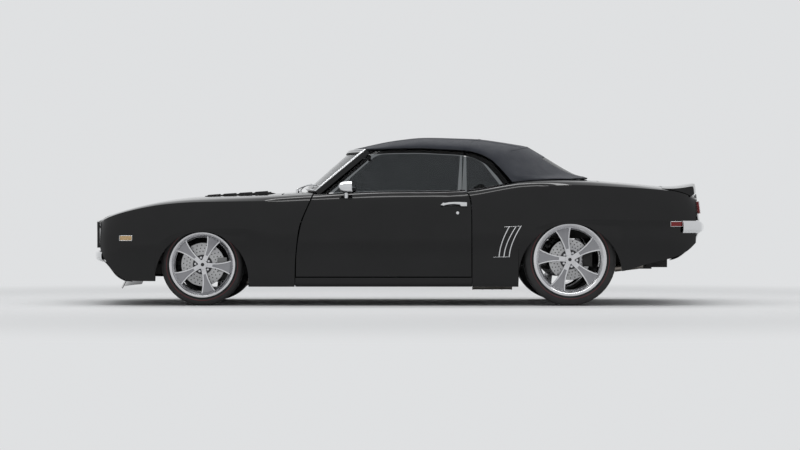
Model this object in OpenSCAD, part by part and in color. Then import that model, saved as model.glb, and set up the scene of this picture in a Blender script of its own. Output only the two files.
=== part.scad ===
// Classic two-door convertible with a raised fabric top, on large five-spoke wheels.
// X runs to the rear, Y to the car's right and Z up. The origin is on the ground below the middle.

/* [Overall] */
// Length over both bumpers
overall_length = 4724; // [4700:1:4748]
// Width of the body at its widest line
body_width = 1880; // [1870:1:1890]
// Distance between the axles
wheelbase = 2743; // [2725:1:2761]
// Bumper face to front axle
front_overhang = 886; // [876:1:896]
// Highest point of the fabric top
roof_height = 1282; // [1270:1:1294]
// Fender edge above the front axle
shoulder_height = 775; // [769:1:781]
// Underside of the sills
sill_height = 142; // [134:1:150]

/* [Panels] */
// Thickness of fenders and quarters
skin = 8; // [7:0.5:9]
// Thickness of hood and trunk lid
lid_skin = 10; // [8:0.5:12]
// Gap between neighbouring panels
panel_gap = 7; // [6:0.5:8]
// Gap behind the hood and ahead of the trunk lid
hinge_gap = 11; // [10:0.5:13]
// Inner face of the doors from the middle
door_inner = 765; // [758:1:772]
// Thickness of window glass
glass_t = 5; // [4:0.5:6]
// Thickness of the fabric top
canvas_t = 8; // [6:0.5:10]

/* [Wheels and tyres] */
// Front tyre diameter
front_tyre_d = 612; // [604:1:620]
// Rear tyre diameter
rear_tyre_d = 688; // [680:1:696]
// Front tyre width
front_tyre_w = 215; // [213:1:219]
// Rear tyre width
rear_tyre_w = 255; // [245:1:265]
// Front rim diameter over its lip
front_rim_d = 494; // [488:1:500]
// Rear rim diameter over its lip
rear_rim_d = 546; // [540:1:552]
// Distance between the front wheels
front_track = 1464; // [1456:1:1470]
// Distance between the rear wheels
rear_track = 1510; // [1500:1:1520]
// Spokes of each wheel
spoke_count = 5; // [5:1:6]
// Front brake disc diameter
front_disc_d = 325; // [315:1:330]
// Rear brake disc diameter
rear_disc_d = 308; // [300:1:320]
// Front arch lip above the ground
front_lip = 561; // [556:1:566]
// Rear arch lip above the ground
rear_lip = 620; // [615:1:625]
// Arch radius beyond the tyre
arch_clear = 41; // [38:1:44]

/* [Fits] */
// Clearance of a pin in its bore
pin_clear = 0.4; // [0.3:0.1:0.6]
// Radius of the hinge pins
pin_r = 8; // [7:0.5:9]
// Radius of the wheel spindles
spindle_r = 22; // [20:0.5:24]
// Play between pieces that lie against each other
lay = 0.3; // [0.2:0.1:0.5]

/* [Hidden] */
$fn = 72;
x_nose = -overall_length / 2;
x_tail = overall_length / 2;
x_front = x_nose + front_overhang;
x_rear = x_front + wheelbase;
ridge_h = 9;
half_w = body_width / 2 - ridge_h;
front_arch_r = front_tyre_d / 2 + arch_clear;
rear_arch_r = rear_tyre_d / 2 + arch_clear;
front_y = front_track / 2;
rear_y = rear_track / 2;
kingpin_y = front_y - 30;
door_pin = [x_front + 811, half_w - 58];
lean = 52;
tuck = 46;
roll_w = 80;
nose_set = 112;
nose_sweep = 55;
tail_sweep = 80;
hood_x = [x_nose + 180, x_front + 584];
lid_x = [x_rear + 233, x_tail - 232];
floor_z = 190;
tunnel_w = 150;
door_low = sill_height + 76;

// Body stations: place, inset from the widest line, shoulder height over the front axle, roll, crown
body_line = [
  [x_nose + nose_set, 196, -150, 4, 9],
  [x_nose + 165, 142, -120, 6, 14],
  [x_nose + 280, 86, -82, 8, 20],
  [x_nose + 490, 38, -35, 10, 28],
  [x_front - 180, 18, -8, 12, 34],
  [x_front, 12, 0, 14, 38],
  [x_front + 450, 12, 6, 24, 40],
  [x_front + 735, 12, 13, 36, 36],
  [x_front + 1250, 10, 22, 50, 34],
  [x_rear - 768, 8, 33, 48, 34],
  [x_rear - 630, 7, 54, 48, 34],
  [x_rear - 370, 3, 102, 44, 32],
  [x_rear, 0, 126, 28, 30],
  [x_rear + 430, 10, 108, 16, 32],
  [x_tail - 460, 30, 94, 8, 32],
  [x_tail - 327, 50, 80, 6, 30],
  [x_tail - 213, 88, 54, 4, 28],
  [x_tail - 150, 126, 14, 3, 26]];

// Crease along the side: place, height
crease_line = [
  [x_nose + nose_set, 474],
  [x_front - 278, 511],
  [x_front - 174, 553],
  [x_front, front_lip + 12],
  [x_front + 244, 585],
  [x_front + 463, 592],
  [x_rear - 600, 602],
  [x_rear - 226, 612],
  [x_rear - 107, 632],
  [x_rear + 93, 648],
  [x_rear + 359, 653],
  [x_tail - 225, 650],
  [x_tail, 648]];

// Height of the ridge that stands on the crease: place, height
ridge_line = [
  [x_front - 330, 0],
  [x_front - 220, ridge_h],
  [x_front + 250, ridge_h],
  [x_front + 480, 0],
  [x_rear - 300, 0],
  [x_rear - 150, ridge_h],
  [x_tail - 300, ridge_h],
  [x_tail - 150, 3]];

// Lower edge ahead of the front wheel: place, height
front_low = [
  [x_nose + nose_set, 430],
  [x_nose + 148, 350],
  [x_nose + 182, 300],
  [x_nose + 242, 232],
  [x_nose + 307, 190],
  [x_nose + 382, 184],
  [x_front, 184]];

// Lower edge behind the rear wheel: place, height
rear_low = [
  [x_rear, 255],
  [x_rear + 391, 259],
  [x_rear + 545, 304],
  [x_tail - 317, 362],
  [x_tail - 213, 410],
  [x_tail - 150, 470]];

// Edge of the hood, from the middle: place, distance
hood_edge = [
  [x_nose + nose_set, half_w - 327],
  [x_nose + 180, half_w - 317],
  [x_front, half_w - 267],
  [x_front + 584, half_w - 239],
  [x_front + 880, half_w - 231]];

// Inner edge of the quarter's top: place, distance from the middle
quarter_edge = [
  [x_rear - 776, half_w - 137],
  [x_rear - 420, half_w - 159],
  [x_rear - 340, half_w - 186],
  [x_rear - 100, half_w - 226],
  [x_rear + 215, half_w - 291],
  [x_tail - 150, half_w - 319]];

// Front and rear edges of the doors: height, place
door_front = [[180, x_front + 701], [400, x_front + 706], [606, x_front + 740], [796, x_front + 819],
  [860, x_front + 842]];
door_rear = [[180, x_rear - 735], [594, x_rear - 737], [661, x_rear - 737], [810, x_rear - 746], [856,
  x_rear - 776]];

// Smooth curve through a table's first column and the column c
function column(t, c) = [for (r = t) [r[0], r[c]]];
function span(t, x, i = 0) = i >= len(t) - 2 || x < t[i + 1][0] ? i : span(t, x, i + 1);
function rate(t, i) =
  let (a = max(i - 1, 0), b = min(i + 1, len(t) - 1))
  (t[b][1] - t[a][1]) / (t[b][0] - t[a][0]);
function curve(t, x) =
  let (
    i = span(t, x),
    h = t[i + 1][0] - t[i][0],
    u = min(1, max(0, (x - t[i][0]) / h)),
    a = t[i][1],
    b = t[i + 1][1],
    p = rate(t, i) * h,
    q = rate(t, i + 1) * h)
  a + p * u + (3 * (b - a) - 2 * p - q) * u * u + (2 * (a - b) + p + q) * u * u * u;

inset_curve = column(body_line, 1);
height_curve = column(body_line, 2);
roll_curve = column(body_line, 3);
crown_curve = column(body_line, 4);

// Half width of the body and its lines
function plan(x) = half_w - curve(inset_curve, x);
function shoulder(x) = shoulder_height + curve(height_curve, x);
function crease(x) = curve(crease_line, x);
function fade(u) = u >= 0 ? pow(max(0, 1 - u / 110), 2) : pow(max(0, 1 + u / 45), 2);
function side_y(x, z) =
  let (zc = crease(x), bulge = max(0, lookup(x, ridge_line)) * fade(z - zc))
  z >= zc ?
    plan(x) - lean * pow((z - zc) / (shoulder(x) - zc), 2) + bulge :
    plan(x) - tuck * pow((zc - z) / (zc - 142), 2) + bulge;
function shoulder_y(x) = side_y(x, shoulder(x));
function top_z(x, y) =
  let (e = shoulder_y(x), k = min(1, max(0, (e - abs(y)) / roll_w)))
  shoulder(x) + curve(roll_curve, x) * (1 - pow(1 - k, 2)) + curve(crown_curve, x) * (1 - pow(y / e, 2));
function ease(a, b, x) = let (u = min(1, max(0, (x - a) / (b - a)))) u * u * (3 - 2 * u);
function bow(x, y) =
  tail_sweep * ease(x_rear + 330, x_tail - 150, x) * max(0, 1 - pow(y / 800, 2)) -
  nose_sweep * (1 - ease(x_nose + nose_set, x_nose + 490, x)) * max(0, 1 - pow(y / 700, 2));
function top_point(x, y, dz = 0) = [x + bow(x, y), y, top_z(x, y) + dz];
function deck_point(x, y, dz = 0) = [x + bow(x, y), y, top_z(min(x, x_tail - 327), y) + dz];

// Fabric top: edge place, edge distance from the middle, edge height, middle place, middle height
belt_h = 880;
function roof_z(f) = belt_h + f * (roof_height - belt_h);
top_line = concat([
  [x_front + 1219, half_w - 327, roof_z(0.736), x_front + 1104, roof_z(0.761)],
  [x_front + 1430, half_w - 303, roof_z(0.751), x_front + 1375, roof_z(0.915)],
  [x_front + 1634, half_w - 289, roof_z(0.756), x_front + 1646, roof_height],
  [x_front + 1980, half_w - 279, roof_z(0.711), x_front + 2103, roof_z(0.965)],
  [x_front + 2087, half_w - 269, roof_z(0.649), x_front + 2290, roof_z(0.896)],
  [x_front + 2169, half_w - 247, roof_z(0.527), x_front + 2463, roof_z(0.823)],
  [x_front + 2250, half_w - 209, roof_z(0.323), x_front + 2600, roof_z(0.622)]],
  // The lowest rows stand on the body: edge place, middle place, middle height
  [for (r = [
    [x_front + 2317, x_front + 2730, roof_z(0.423)],
    [x_front + 2480, x_front + 2830, roof_z(0.284)],
    [x_front + 2650, x_front + 2895, roof_z(0.239)],
    [x_front + 2760, x_front + 2925, roof_z(0.209)]])
    let (y = curve(quarter_edge, r[0]) + 8) [r[0], y, top_z(r[0], y) + (r[0] > x_rear - 200 ? 9 : 5),
      r[1], r[2]]]);

// Solids between an outer and an inner grid of points, with an optional window of left-out cells
function normal(g, i, j) =
  let (
    n = len(g) - 1,
    m = len(g[0]) - 1,
    r = g[min(i + 1, n)][j] - g[max(i - 1, 0)][j],
    c = g[i][min(j + 1, m)] - g[i][max(j - 1, 0)],
    v = cross(r, c))
  v / norm(v);
function inner(g, t) = [for (i = [0:len(g) - 1]) [for (j = [0:len(g[0]) - 1]) g[i][j] - t * normal(g, i,
  j)]];
function quad(a, b, c, d) = [[a, b, c], [a, c, d]];
module panel(outer, inside, hole = [0, 0, 0, 0]) {
  n = len(outer);
  m = len(outer[0]);
  o = function(i, j) i * m + j;
  q = function(i, j) n * m + i * m + j;
  open = function(i, j) i >= hole[0] && i < hole[1] && j >= hole[2] && j < hole[3];
  cells = [for (i = [0:n - 2], j = [0:m - 2]) if (!open(i, j)) [i, j]];
  skins = [for (c = cells) each concat(
    quad(o(c[0], c[1]), o(c[0], c[1] + 1), o(c[0] + 1, c[1] + 1), o(c[0] + 1, c[1])),
    quad(q(c[0], c[1]), q(c[0] + 1, c[1]), q(c[0] + 1, c[1] + 1), q(c[0], c[1] + 1)))];
  ends = concat(
    [for (j = [0:m - 2]) each quad(o(0, j + 1), o(0, j), q(0, j), q(0, j + 1))],
    [for (j = [0:m - 2]) each quad(o(n - 1, j), o(n - 1, j + 1), q(n - 1, j + 1), q(n - 1, j))],
    [for (i = [0:n - 2]) each quad(o(i, 0), o(i + 1, 0), q(i + 1, 0), q(i, 0))],
    [for (i = [0:n - 2]) each quad(o(i + 1, m - 1), o(i, m - 1), q(i, m - 1), q(i + 1, m - 1))]);
  a = hole[0];
  b = hole[1];
  c = hole[2];
  d = hole[3];
  rims = b <= a ? [] : concat(
    [for (j = [c:d - 1]) each quad(o(a, j), o(a, j + 1), q(a, j + 1), q(a, j))],
    [for (j = [c:d - 1]) each quad(o(b, j + 1), o(b, j), q(b, j), q(b, j + 1))],
    [for (i = [a:b - 1]) each quad(o(i + 1, c), o(i, c), q(i, c), q(i + 1, c))],
    [for (i = [a:b - 1]) each quad(o(i, d), o(i + 1, d), q(i + 1, d), q(i, d))]);
  polyhedron(
    points = concat([for (r = outer) each r], [for (r = inside) each r]),
    faces = concat(skins, ends, rims),
    convexity = 6);
}
module sheet(g, t, hole = [0, 0, 0, 0]) {
  panel(g, inner(g, t), hole);
}
module both_sides() {
  children();
  mirror([0, 1, 0]) children();
}
module from_left() {
  mirror([0, 1, 0]) children();
}
module box(a, b) {
  translate(a) cube(b - a);
}
function steps(a, b, n) = [for (k = [0:n]) a + (b - a) * k / n];

// Side panels: rows from the lower edge over the crease and the shoulder to the inner edge of the top
roll_parts = [0.25, 0.6, 1];
function arch_low(x, centre, r, lip, otherwise) =
  abs(x - centre) < r ? max(otherwise, lip - r + sqrt(r * r - pow(x - centre, 2))) : otherwise;
function side_rows(x, low, edge, skew) =
  let (
    zc = max(crease(x), low + 6),
    zs = shoulder(x),
    e = shoulder_y(x),
    near = min(40, (zc - low) * 0.6),
    zz = [low, (low + zc - near) / 2, zc - near, zc, zc + 0.3 * (zs - zc), zc + 0.7 * (zs - zc), zs])
  concat(
    [for (z = zz) let (p = x + skew(z)) [p, side_y(p, z), z]],
    [for (f = roll_parts) let (y = e + f * (edge - e), p = x + skew(top_z(x, y))) top_point(p, y)]);
function reversed(g) = [for (r = g) [for (k = [len(r) - 1:-1:0]) r[k]]];
function turned(g) = [for (j = [0:len(g[0]) - 1]) [for (i = [0:len(g) - 1]) g[i][j]]];

arch_turns = [175, 162, 145, 124, 102, 78, 56, 35, 18, 5];
fender_start = x_front + front_arch_r + 1;
front_gap = panel_gap + 3.4;
fender_end = curve(door_front, 606) - front_gap;
fender_x = concat(
  [for (o = [nose_set, 126, 148, 182, 242, 307, 382, 440]) x_nose + o],
  [x_front - front_arch_r - 24, x_front - front_arch_r - 1],
  [for (a = arch_turns) x_front + front_arch_r * cos(a)],
  [for (f = [0, 0.2, 0.45, 0.72, 1]) fender_start + f * (fender_end - fender_start)]);
function fender_low(x) =
  arch_low(x, x_front, front_arch_r, front_lip, x < x_front ? curve(front_low, x) : sill_height);
fender_grid = turned([for (x = fender_x)
  let (w = max(0, (x - fender_start) / (fender_end - fender_start)))
  side_rows(x, fender_low(x), curve(hood_edge, x) + panel_gap,
    function(z) w * (curve(door_front, z) - front_gap - fender_end))]);
// The rear edge of the fender is bevelled inside, where the door's edge swings in
fender_inner = let (g = inner(fender_grid, skin), m = len(fender_x) - 1)
  [for (r = g) [for (j = [0:m]) r[j] - [j == m ? skin * 1.4 : 0, 0, 0]]];
module fenders() {
  color("dimgray") both_sides() {
    panel(fender_grid, fender_inner);
    box([x_front + 650, half_w - 82 + lay, 420], [x_front + 672, half_w - 21, 450]);
  }
}

quarter_start = curve(door_rear, 606) + panel_gap;
quarter_stop = x_rear - rear_arch_r - 1;
quarter_x = concat(
  [for (f = [0, 0.2, 0.45, 0.72, 1]) quarter_start + f * (quarter_stop - quarter_start)],
  [for (a = arch_turns) x_rear + rear_arch_r * cos(a)],
  [x_rear + rear_arch_r + 1, x_rear + rear_arch_r + 30],
  [for (o = [630, 540, 460, 390, 327, 270, 213, 178, 150]) x_tail - o]);
function quarter_low(x) =
  arch_low(x, x_rear, rear_arch_r, rear_lip, x > x_rear ? curve(rear_low, x) : sill_height);
quarter_grid = turned([for (x = quarter_x)
  let (w = max(0, 1 - (x - quarter_start) / (quarter_stop - quarter_start)))
  side_rows(x, quarter_low(x), curve(quarter_edge, x),
    function(z) w * (curve(door_rear, z) + panel_gap - quarter_start))]);
module quarters() {
  color("dimgray") both_sides() sheet(quarter_grid, skin);
}

sill_x = [curve(door_front, door_low) - panel_gap + lay, curve(door_rear, door_low) + panel_gap - lay];
module sills() {
  color("dimgray") both_sides()
    translate([sill_x[0], 0, 0]) rotate([90, 0, 90]) linear_extrude(sill_x[1] - sill_x[0])
      polygon([
        [690, sill_height + 12],
        [half_w - 70, sill_height],
        [half_w - 52, sill_height + 12],
        [half_w - 44, door_low - panel_gap],
        [690, door_low - panel_gap]]);
}

// Doors
function door_rows(u) =
  let (
    x0 = curve(door_front, 606) + u * (curve(door_rear, 606) - curve(door_front, 606)),
    zc = crease(x0),
    zs = shoulder(x0),
    e = shoulder_y(x0),
    px = function(z) curve(door_front, z) + u * (curve(door_rear, z) - 4 * ease(740, 820, z)
      - curve(door_front, z)))
  concat(
    [for (f = [0, 0.33, 0.66]) let (z = door_low + f * (zc - door_low)) [px(z), side_y(px(z), z), z]],
    [for (f = [0, 0.35, 0.7, 1]) let (z = zc + f * (zs - zc)) [px(z), side_y(px(z), z), z]],
    [for (f = [0.25, 0.5, 0.75, 1])
      let (y = e - f * roll_w, z = top_z(x0, y)) [px(z), y, z]]);
door_grid = turned([for (u = steps(0, 1, 10)) door_rows(u)]);
// The rear end of the door slopes forward inside, so that it swings clear of the quarter
door_inside = [for (r = door_grid) [for (j = [0:10]) [r[j][0] - (j == 10 ? 14 : 0), door_inner, r[j][2]]]];
hinge_z = [[300, 350], [600, 650]];
module door() {
  color("dimgray") difference() {
    panel(door_grid, door_inside);
    for (z = hinge_z) {
      box([x_front + 650, door_inner - 20, z[0] - 8], [door_pin[0] + 24, door_pin[1] + 20, z[1] + 8]);
      translate([door_pin[0], door_pin[1], z[0] - 30]) cylinder(r = pin_r + pin_clear, h = z[1] - z[0]
        + 60);
    }
  }
}
module door_right() {
  door();
}
module door_left() {
  from_left() door();
}

// Side glass leans in from the sill to the roof rail
function sill_point(x) =
  let (y = shoulder_y(x) - roll_w, q = curve(quarter_edge, x))
  x < x_rear - 777 ? [y - 13, top_z(x, y) + 4.8] : [q - 5, top_z(x, q) - 6];
function rail_point(x) = let (c = [for (r = top_line) [r[0], r[1]]], d = [for (r = top_line) [r[0], r[2]]])
  [curve(c, x) - 14, curve(d, x) - 9];
function pane_point(x, xt, v) =
  let (a = sill_point(x), b = rail_point(xt))
  [x + v * (xt - x), a[0] + v * (b[0] - a[0]) + 14 * v * (1 - v), a[1] + v * (b[1] - a[1])];
function pane(x0, x1, t0, t1, n) = turned([for (k = [0:n])
  let (f = k / n) [for (v = steps(0, 1, 5)) pane_point(x0 + f * (x1 - x0), t0 + f * (t1 - t0), v)]]);
door_pane = [[x_front + 916, x_front + 1290], [x_rear - 802, x_rear - 784]];
module door_glass() {
  color("lightsteelblue", 0.5)
    sheet(pane(door_pane[0][0], door_pane[1][0], door_pane[0][1], door_pane[1][1], 8), glass_t);
}
module door_glass_right() {
  door_glass();
}
module door_glass_left() {
  from_left() door_glass();
}

// Handle with its lock, and the mirror on its stalk
handle_x = [x_rear - 963, x_rear - 770];
mirror_x = x_front + 1075;
module fitting_posts() {
  hy = side_y(handle_x[0] + 96, 757);
  my = shoulder_y(mirror_x) - 22;
  for (x = [handle_x[0] + 20, handle_x[1] - 20])
    translate([x, hy - 12, 757]) rotate([-90, 0, 0]) cylinder(r = 11, h = 34);
  translate([handle_x[0] + 124, side_y(handle_x[0] + 124, 692) - 12, 692]) rotate([-90, 0, 0])
    cylinder(r = 11, h = 17);
  translate([mirror_x, my, top_z(mirror_x, my) - 16]) cylinder(r = 17, h = 54);
}
// Arched grip: place along it, lower and upper edge
grip_line = [[0, 750, 756], [24, 750, 765], [60, 757, 771], [100, 759, 773], [140, 755, 773], [150, 742,
  772], [193, 742, 770]];
module door_fittings() {
  hy = side_y(handle_x[0] + 96, 757);
  my = shoulder_y(mirror_x) - 22;
  color("silver") {
    difference() {
      fitting_posts();
      translate([0, lay, lay]) panel(door_grid, door_inside);
    }
    translate([handle_x[0], hy + 26, 0]) rotate([90, 0, 0]) linear_extrude(10)
      polygon(concat([for (r = grip_line) [r[0], r[1]]], [for (k = [6:-1:0]) [grip_line[k][0],
        grip_line[k][2]]]));
    translate([mirror_x + 42, my + 14, top_z(mirror_x, my) + 66]) rotate([0, -90, 0]) rotate_extrude()
      polygon([
      [0, 4], [42, 4], [42, 0], [46, 0], [46, 30], [43, 62], [34, 86], [20, 97], [0, 100]]);
  }
}
module door_fittings_right() {
  door_fittings();
}
module door_fittings_left() {
  from_left() door_fittings();
}

// Hood with two rows of raised vents
hood_pin = [hood_x[1] - 100, 560];
function hood_y(x, u) = u * curve(hood_edge, x);
hood_grid = [for (x = steps(hood_x[0], hood_x[1], 10)) [for (u = steps(-1, 1, 12)) top_point(x, hood_y(x,
  u))]];
function hood_pin_z() = top_z(hood_pin[0], hood_pin[1]) - 34;
module hood() {
  color("dimgray") {
    sheet(hood_grid, lid_skin);
    both_sides() difference() {
      box([hood_pin[0] - 26, hood_pin[1] - 9, hood_pin_z() - 16], [hood_pin[0] + 26, hood_pin[1] + 9,
        hood_pin_z() + 28]);
      translate([hood_pin[0], hood_pin[1] + 20, hood_pin_z()]) rotate([90, 0, 0]) cylinder(r = pin_r
        + pin_clear, h = 40);
    }
  }
}
// Raised vents in two rows: a rising bed with four louvres, cut to lie on the hood
vent_l = 104;
vent_pitch = 121;
vent_y = [195, 305];
module hood_vents() {
  x0 = x_front - 20;
  x1 = x0 + 4 * vent_pitch + 20;
  zv = function(x) top_z(x, vent_y[0]);
  color("dimgray") both_sides() difference() {
    translate([0, vent_y[1], 0]) rotate([90, 0, 0]) linear_extrude(vent_y[1] - vent_y[0])
      polygon(concat(
        [[x0, zv(x0) - 20], [x0, zv(x0) + 1]],
        [for (k = [0:3]) let (x = x0 + 15 + k * vent_pitch, u = 4 + 3 * k) each [
          [x, zv(x) + u - 2], [x + 12, zv(x) + u + 5], [x + vent_l, zv(x + vent_l) + u + 7], [x + vent_l,
            zv(x + vent_l) + u - 1]]],
        [[x1 - 4, zv(x1) + 8], [x1 + 40, zv(x1 + 40) - 2], [x1 + 40, zv(x1) - 20]]));
    translate([0, 0, lay]) panel(hood_grid, [for (r = hood_grid) [for (q = r) [q[0], q[1], 600]]]);
  }
}

// Trunk lid and its spoiler, whose ends stand on the quarters
lid_pin = [lid_x[0] + 80, 520];
function lid_y(x, u) = u * (curve(quarter_edge, x) - panel_gap);
lid_grid = [for (x = steps(lid_x[0], lid_x[1], 7)) [for (u = steps(-1, 1, 12)) deck_point(x, lid_y(x, u))]];
function lid_pin_z() = top_z(lid_pin[0], lid_pin[1]) - 34;
module trunk_lid() {
  color("dimgray") {
    sheet(lid_grid, lid_skin);
    both_sides() difference() {
      box([lid_pin[0] - 26, lid_pin[1] - 9, lid_pin_z() - 16], [lid_pin[0] + 26, lid_pin[1] + 9,
        lid_pin_z() + 28]);
      translate([lid_pin[0], lid_pin[1] + 20, lid_pin_z()]) rotate([90, 0, 0]) cylinder(r = pin_r
        + pin_clear, h = 40);
    }
  }
}
// Spoiler section: place before the tail corner, height above the deck
spoiler_line = [[-255, 1.6], [-200, 7], [-130, 17], [-75, 27], [-34, 37], [-22, 33], [-16, 6], [-14, -30]];
function spoiler_point(y, k) =
  let (
    x = x_tail - 150 + spoiler_line[k][0],
    deck = deck_point(min(x, x_tail - 240), y)[2],
    drop = abs(y) < 560 ? 1 : max(0.8, 1 - (abs(y) - 560) / 900))
  [x + bow(x, y), y, deck + spoiler_line[k][1] * (spoiler_line[k][1] > 0 ? drop : 1)];
function spoiler_rows(ys) = [for (k = [0:7]) [for (y = ys) spoiler_point(y, k)]];
spoiler_half = curve(quarter_edge, x_tail - 240) - panel_gap;
module spoiler() {
  ys = steps(-spoiler_half, spoiler_half, 12);
  color("dimgray") panel(spoiler_rows(ys), spoiler_base(ys));
}
function spoiler_base(ys) = [for (k = [0:7]) [for (y = ys)
  let (x = k < 7 ? x_tail - 404 + k * 29.6 : x_tail - 224)
  [x + bow(x, y), y, deck_point(x, y)[2] + (k < 7 ? lay + 0.5 : -30)]]];
function spoiler_end_base(ys) = [for (k = [0:7]) [for (y = ys) top_point(x_tail - 404 + k * 31, y, lay
  + 0.4 * k)]];
module spoiler_ends() {
  ys = steps(spoiler_half + panel_gap, shoulder_y(x_tail - 240) - 16, 5);
  color("dimgray") both_sides() panel(spoiler_rows(ys), spoiler_end_base(ys));
}

// Cowl with the bulkhead and the door hinge pillars
cowl_x = [hood_x[1] + hinge_gap, x_front + 752];
pillar_x = [x_front + 640, x_front + 684];
cowl_grid = [for (f = steps(0, 1, 4)) [for (u = steps(-1, 1, 12))
  let (x = cowl_x[0] + f * (cowl_x[1] + 91 * u * u - cowl_x[0]), y = u * (curve(hood_edge, x)
    + panel_gap - 6 - lay))
  [x, y, top_z(x, y)]]];
module cowl() {
  color("dimgray") {
    sheet(cowl_grid, skin);
    difference() {
      box([cowl_x[0] + 30, -690, floor_z + 22], [cowl_x[0] + 42, 690, top_z(cowl_x[0] + 40, 690) - 2]);
      box([cowl_x[0], -tunnel_w, floor_z], [cowl_x[0] + 60, tunnel_w, floor_z + 200]);
    }
    both_sides() {
      box([pillar_x[0], 640, sill_height + 30], [pillar_x[1], half_w - 82, 640]);
      box([cowl_x[0] + 30, 640, sill_height + 30], [pillar_x[1], 690, 800]);
      for (z = hinge_z) {
        box([pillar_x[1] - 10, 740, z[0]], [door_pin[0] + 12, 758, z[1]]);
        box([door_pin[0] - 12, 745, z[0]], [door_pin[0] + 12, door_pin[1], z[1]]);
        translate([door_pin[0], door_pin[1], z[0]]) cylinder(r = 12, h = z[1] - z[0]);
        translate([door_pin[0], door_pin[1], z[0] - 26]) cylinder(r = pin_r, h = z[1] - z[0] + 52);
      }
      box([hood_pin[0] - 14, hood_pin[1] + 12, hood_pin_z() - 104], [hood_pin[0] + 14, hood_pin[1] + 26,
        hood_pin_z() + 10]);
      box([hood_pin[0] - 14, hood_pin[1] + 12, hood_pin_z() - 104], [cowl_x[0] + 36, hood_pin[1] + 26,
        hood_pin_z() - 78]);
      translate([hood_pin[0], hood_pin[1] + 20, hood_pin_z()]) rotate([90, 0, 0]) cylinder(r = pin_r,
        h = 36);
    }
  }
}

// Nose: a ring round the grille with the strip ahead of the hood
nose_x = x_nose + nose_set;
ring_z = [432, 600];
grille_half = 668;
ring_r = (pow(plan(nose_x), 2) + pow(nose_sweep, 2)) / (2 * nose_sweep);
function nose_outline() = concat(
  [for (z = steps(ring_z[0], shoulder(nose_x), 5)) [side_y(nose_x, z) - 0.6, z]],
  [for (y = steps(shoulder_y(nose_x) - 20, 60, 8)) [y, top_z(nose_x, y) - 1]]);
module ring_shape() {
  right = nose_outline();
  n = len(right);
  difference() {
    polygon(concat(right, [for (k = [n - 1:-1:0]) [-right[k][0], right[k][1]]]));
    hull() for (s = [-1, 1], z = [ring_z[0] + 44, ring_z[1] - 58]) translate([s * (grille_half - 26),
      z]) circle(r = 26);
  }
}
header_grid = [for (x = steps(nose_x - 6, hood_x[0] - panel_gap, 3))
  [for (u = steps(-1, 1, 14)) top_point(x, u * curve(hood_edge, x))]];
module nose_panel() {
  color("dimgray") {
    intersection() {
      translate([nose_x - 100, 0, 0]) rotate([90, 0, 90]) linear_extrude(140) ring_shape();
      difference() {
        translate([nose_x - nose_sweep - 20 + ring_r, 0, 400]) cylinder(r = ring_r, h = 260, $fn = 200);
        translate([nose_x - nose_sweep - lay + ring_r, 0, 399]) cylinder(r = ring_r, h = 262, $fn = 200);
      }
    }
    sheet(header_grid, skin);
  }
}

// Grille of crossed bars in a dark box, with the headlamps at both ends
grille_x = nose_x + 42;
lamp_y = 545;
lamp_z = 522;
module grille() {
  color("black") {
    box([grille_x + 30, -grille_half - 20, 440], [grille_x + 38, grille_half + 20, 590]);
    for (z = [440, 584]) box([nose_x - 6.4, -grille_half - 20, z], [grille_x + 34, grille_half + 20, z
      + 6]);
    for (k = [0:4]) box([grille_x, -440, 462 + k * 28], [grille_x + 32, 440, 466 + k * 28]);
    for (k = [-10:10]) box([grille_x, k * 43 - 2, 458], [grille_x + 32, k * 43 + 2, 578]);
  }
}
function on_side(x0, x1, z0, z1, off) =
  [for (z = steps(z0, z1, 2)) [for (x = steps(x0, x1, 3)) [x, side_y(x, z) + off, z]]];
// Valance below the front bumper: height, distance behind the nose
valance_line = [[176, 290], [181, 231], [211, 172], [255, 140], [300, 106], [322, 84]];
function valance_point(y, z) = [x_nose + lookup(z, valance_line) + 62 * pow(y / 700, 2), y, z];
module front_lamps() {
  color("white") both_sides() {
    translate([grille_x - 26, lamp_y, lamp_z]) rotate([0, 90, 0]) cylinder(r = 60, h = 56 - lay);
    sheet(on_side(x_nose + 272, x_nose + 363, 488, 520, 6.6), 6);
  }
}

// Bumpers: a rounded blade bent along a line of places
front_bumper_line = [
  [0, x_nose], [250, x_nose + 18], [450, x_nose + 42], [600, x_nose + 66], [700, x_nose + 90], [742,
    x_nose + 122]];
rear_bumper_line = concat(
  [[0, x_tail], [300, x_tail - 30], [550, x_tail - 62], [700, x_tail - 84], [786, x_tail - 106]],
  [for (o = [150, 200, 252]) [plan(x_tail - o) + 30, x_tail - o]]);
function mirrored(line) = concat([for (k = [len(line) - 1:-1:1]) [-line[k][0], line[k][1]]], line);
function along(line, k) = let (a = line[max(k - 1, 0)], b = line[min(k + 1, len(line) - 1)], d = b - a)
  d / norm(d);
function blade(line, way, z0, h, deep) = [for (v = steps(-1, 1, 8)) [for (k = [0:len(line) - 1])
  let (
    d = along(line, k),
    wrap = abs(line[k][0]) > 780 ? 0.3 : 1,
    in = wrap * deep * (1 - sqrt(max(0, 1 - pow(abs(v), 2.6)))))
  [line[k][1] + way * in * d[0], line[k][0] - way * in * d[1], z0 + v * h / 2]]];
module bumpers() {
  color("silver") {
    sheet(blade(mirrored(front_bumper_line), 1, 370, 90, 42), 6);
    sheet(reversed(blade(mirrored(rear_bumper_line), -1, 588, 90, 34)), 6);
    for (s = [-1, 1]) {
      box([lookup(405, front_bumper_line) + 7, s * 405 - 25, 345], [x_nose + 290, s * 405 + 25, 395]);
      box([x_tail - 233 + lay, s * 420 - 25, 563], [lookup(420, rear_bumper_line) - 7, s * 420 + 25, 613]);
    }
  }
}

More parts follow.
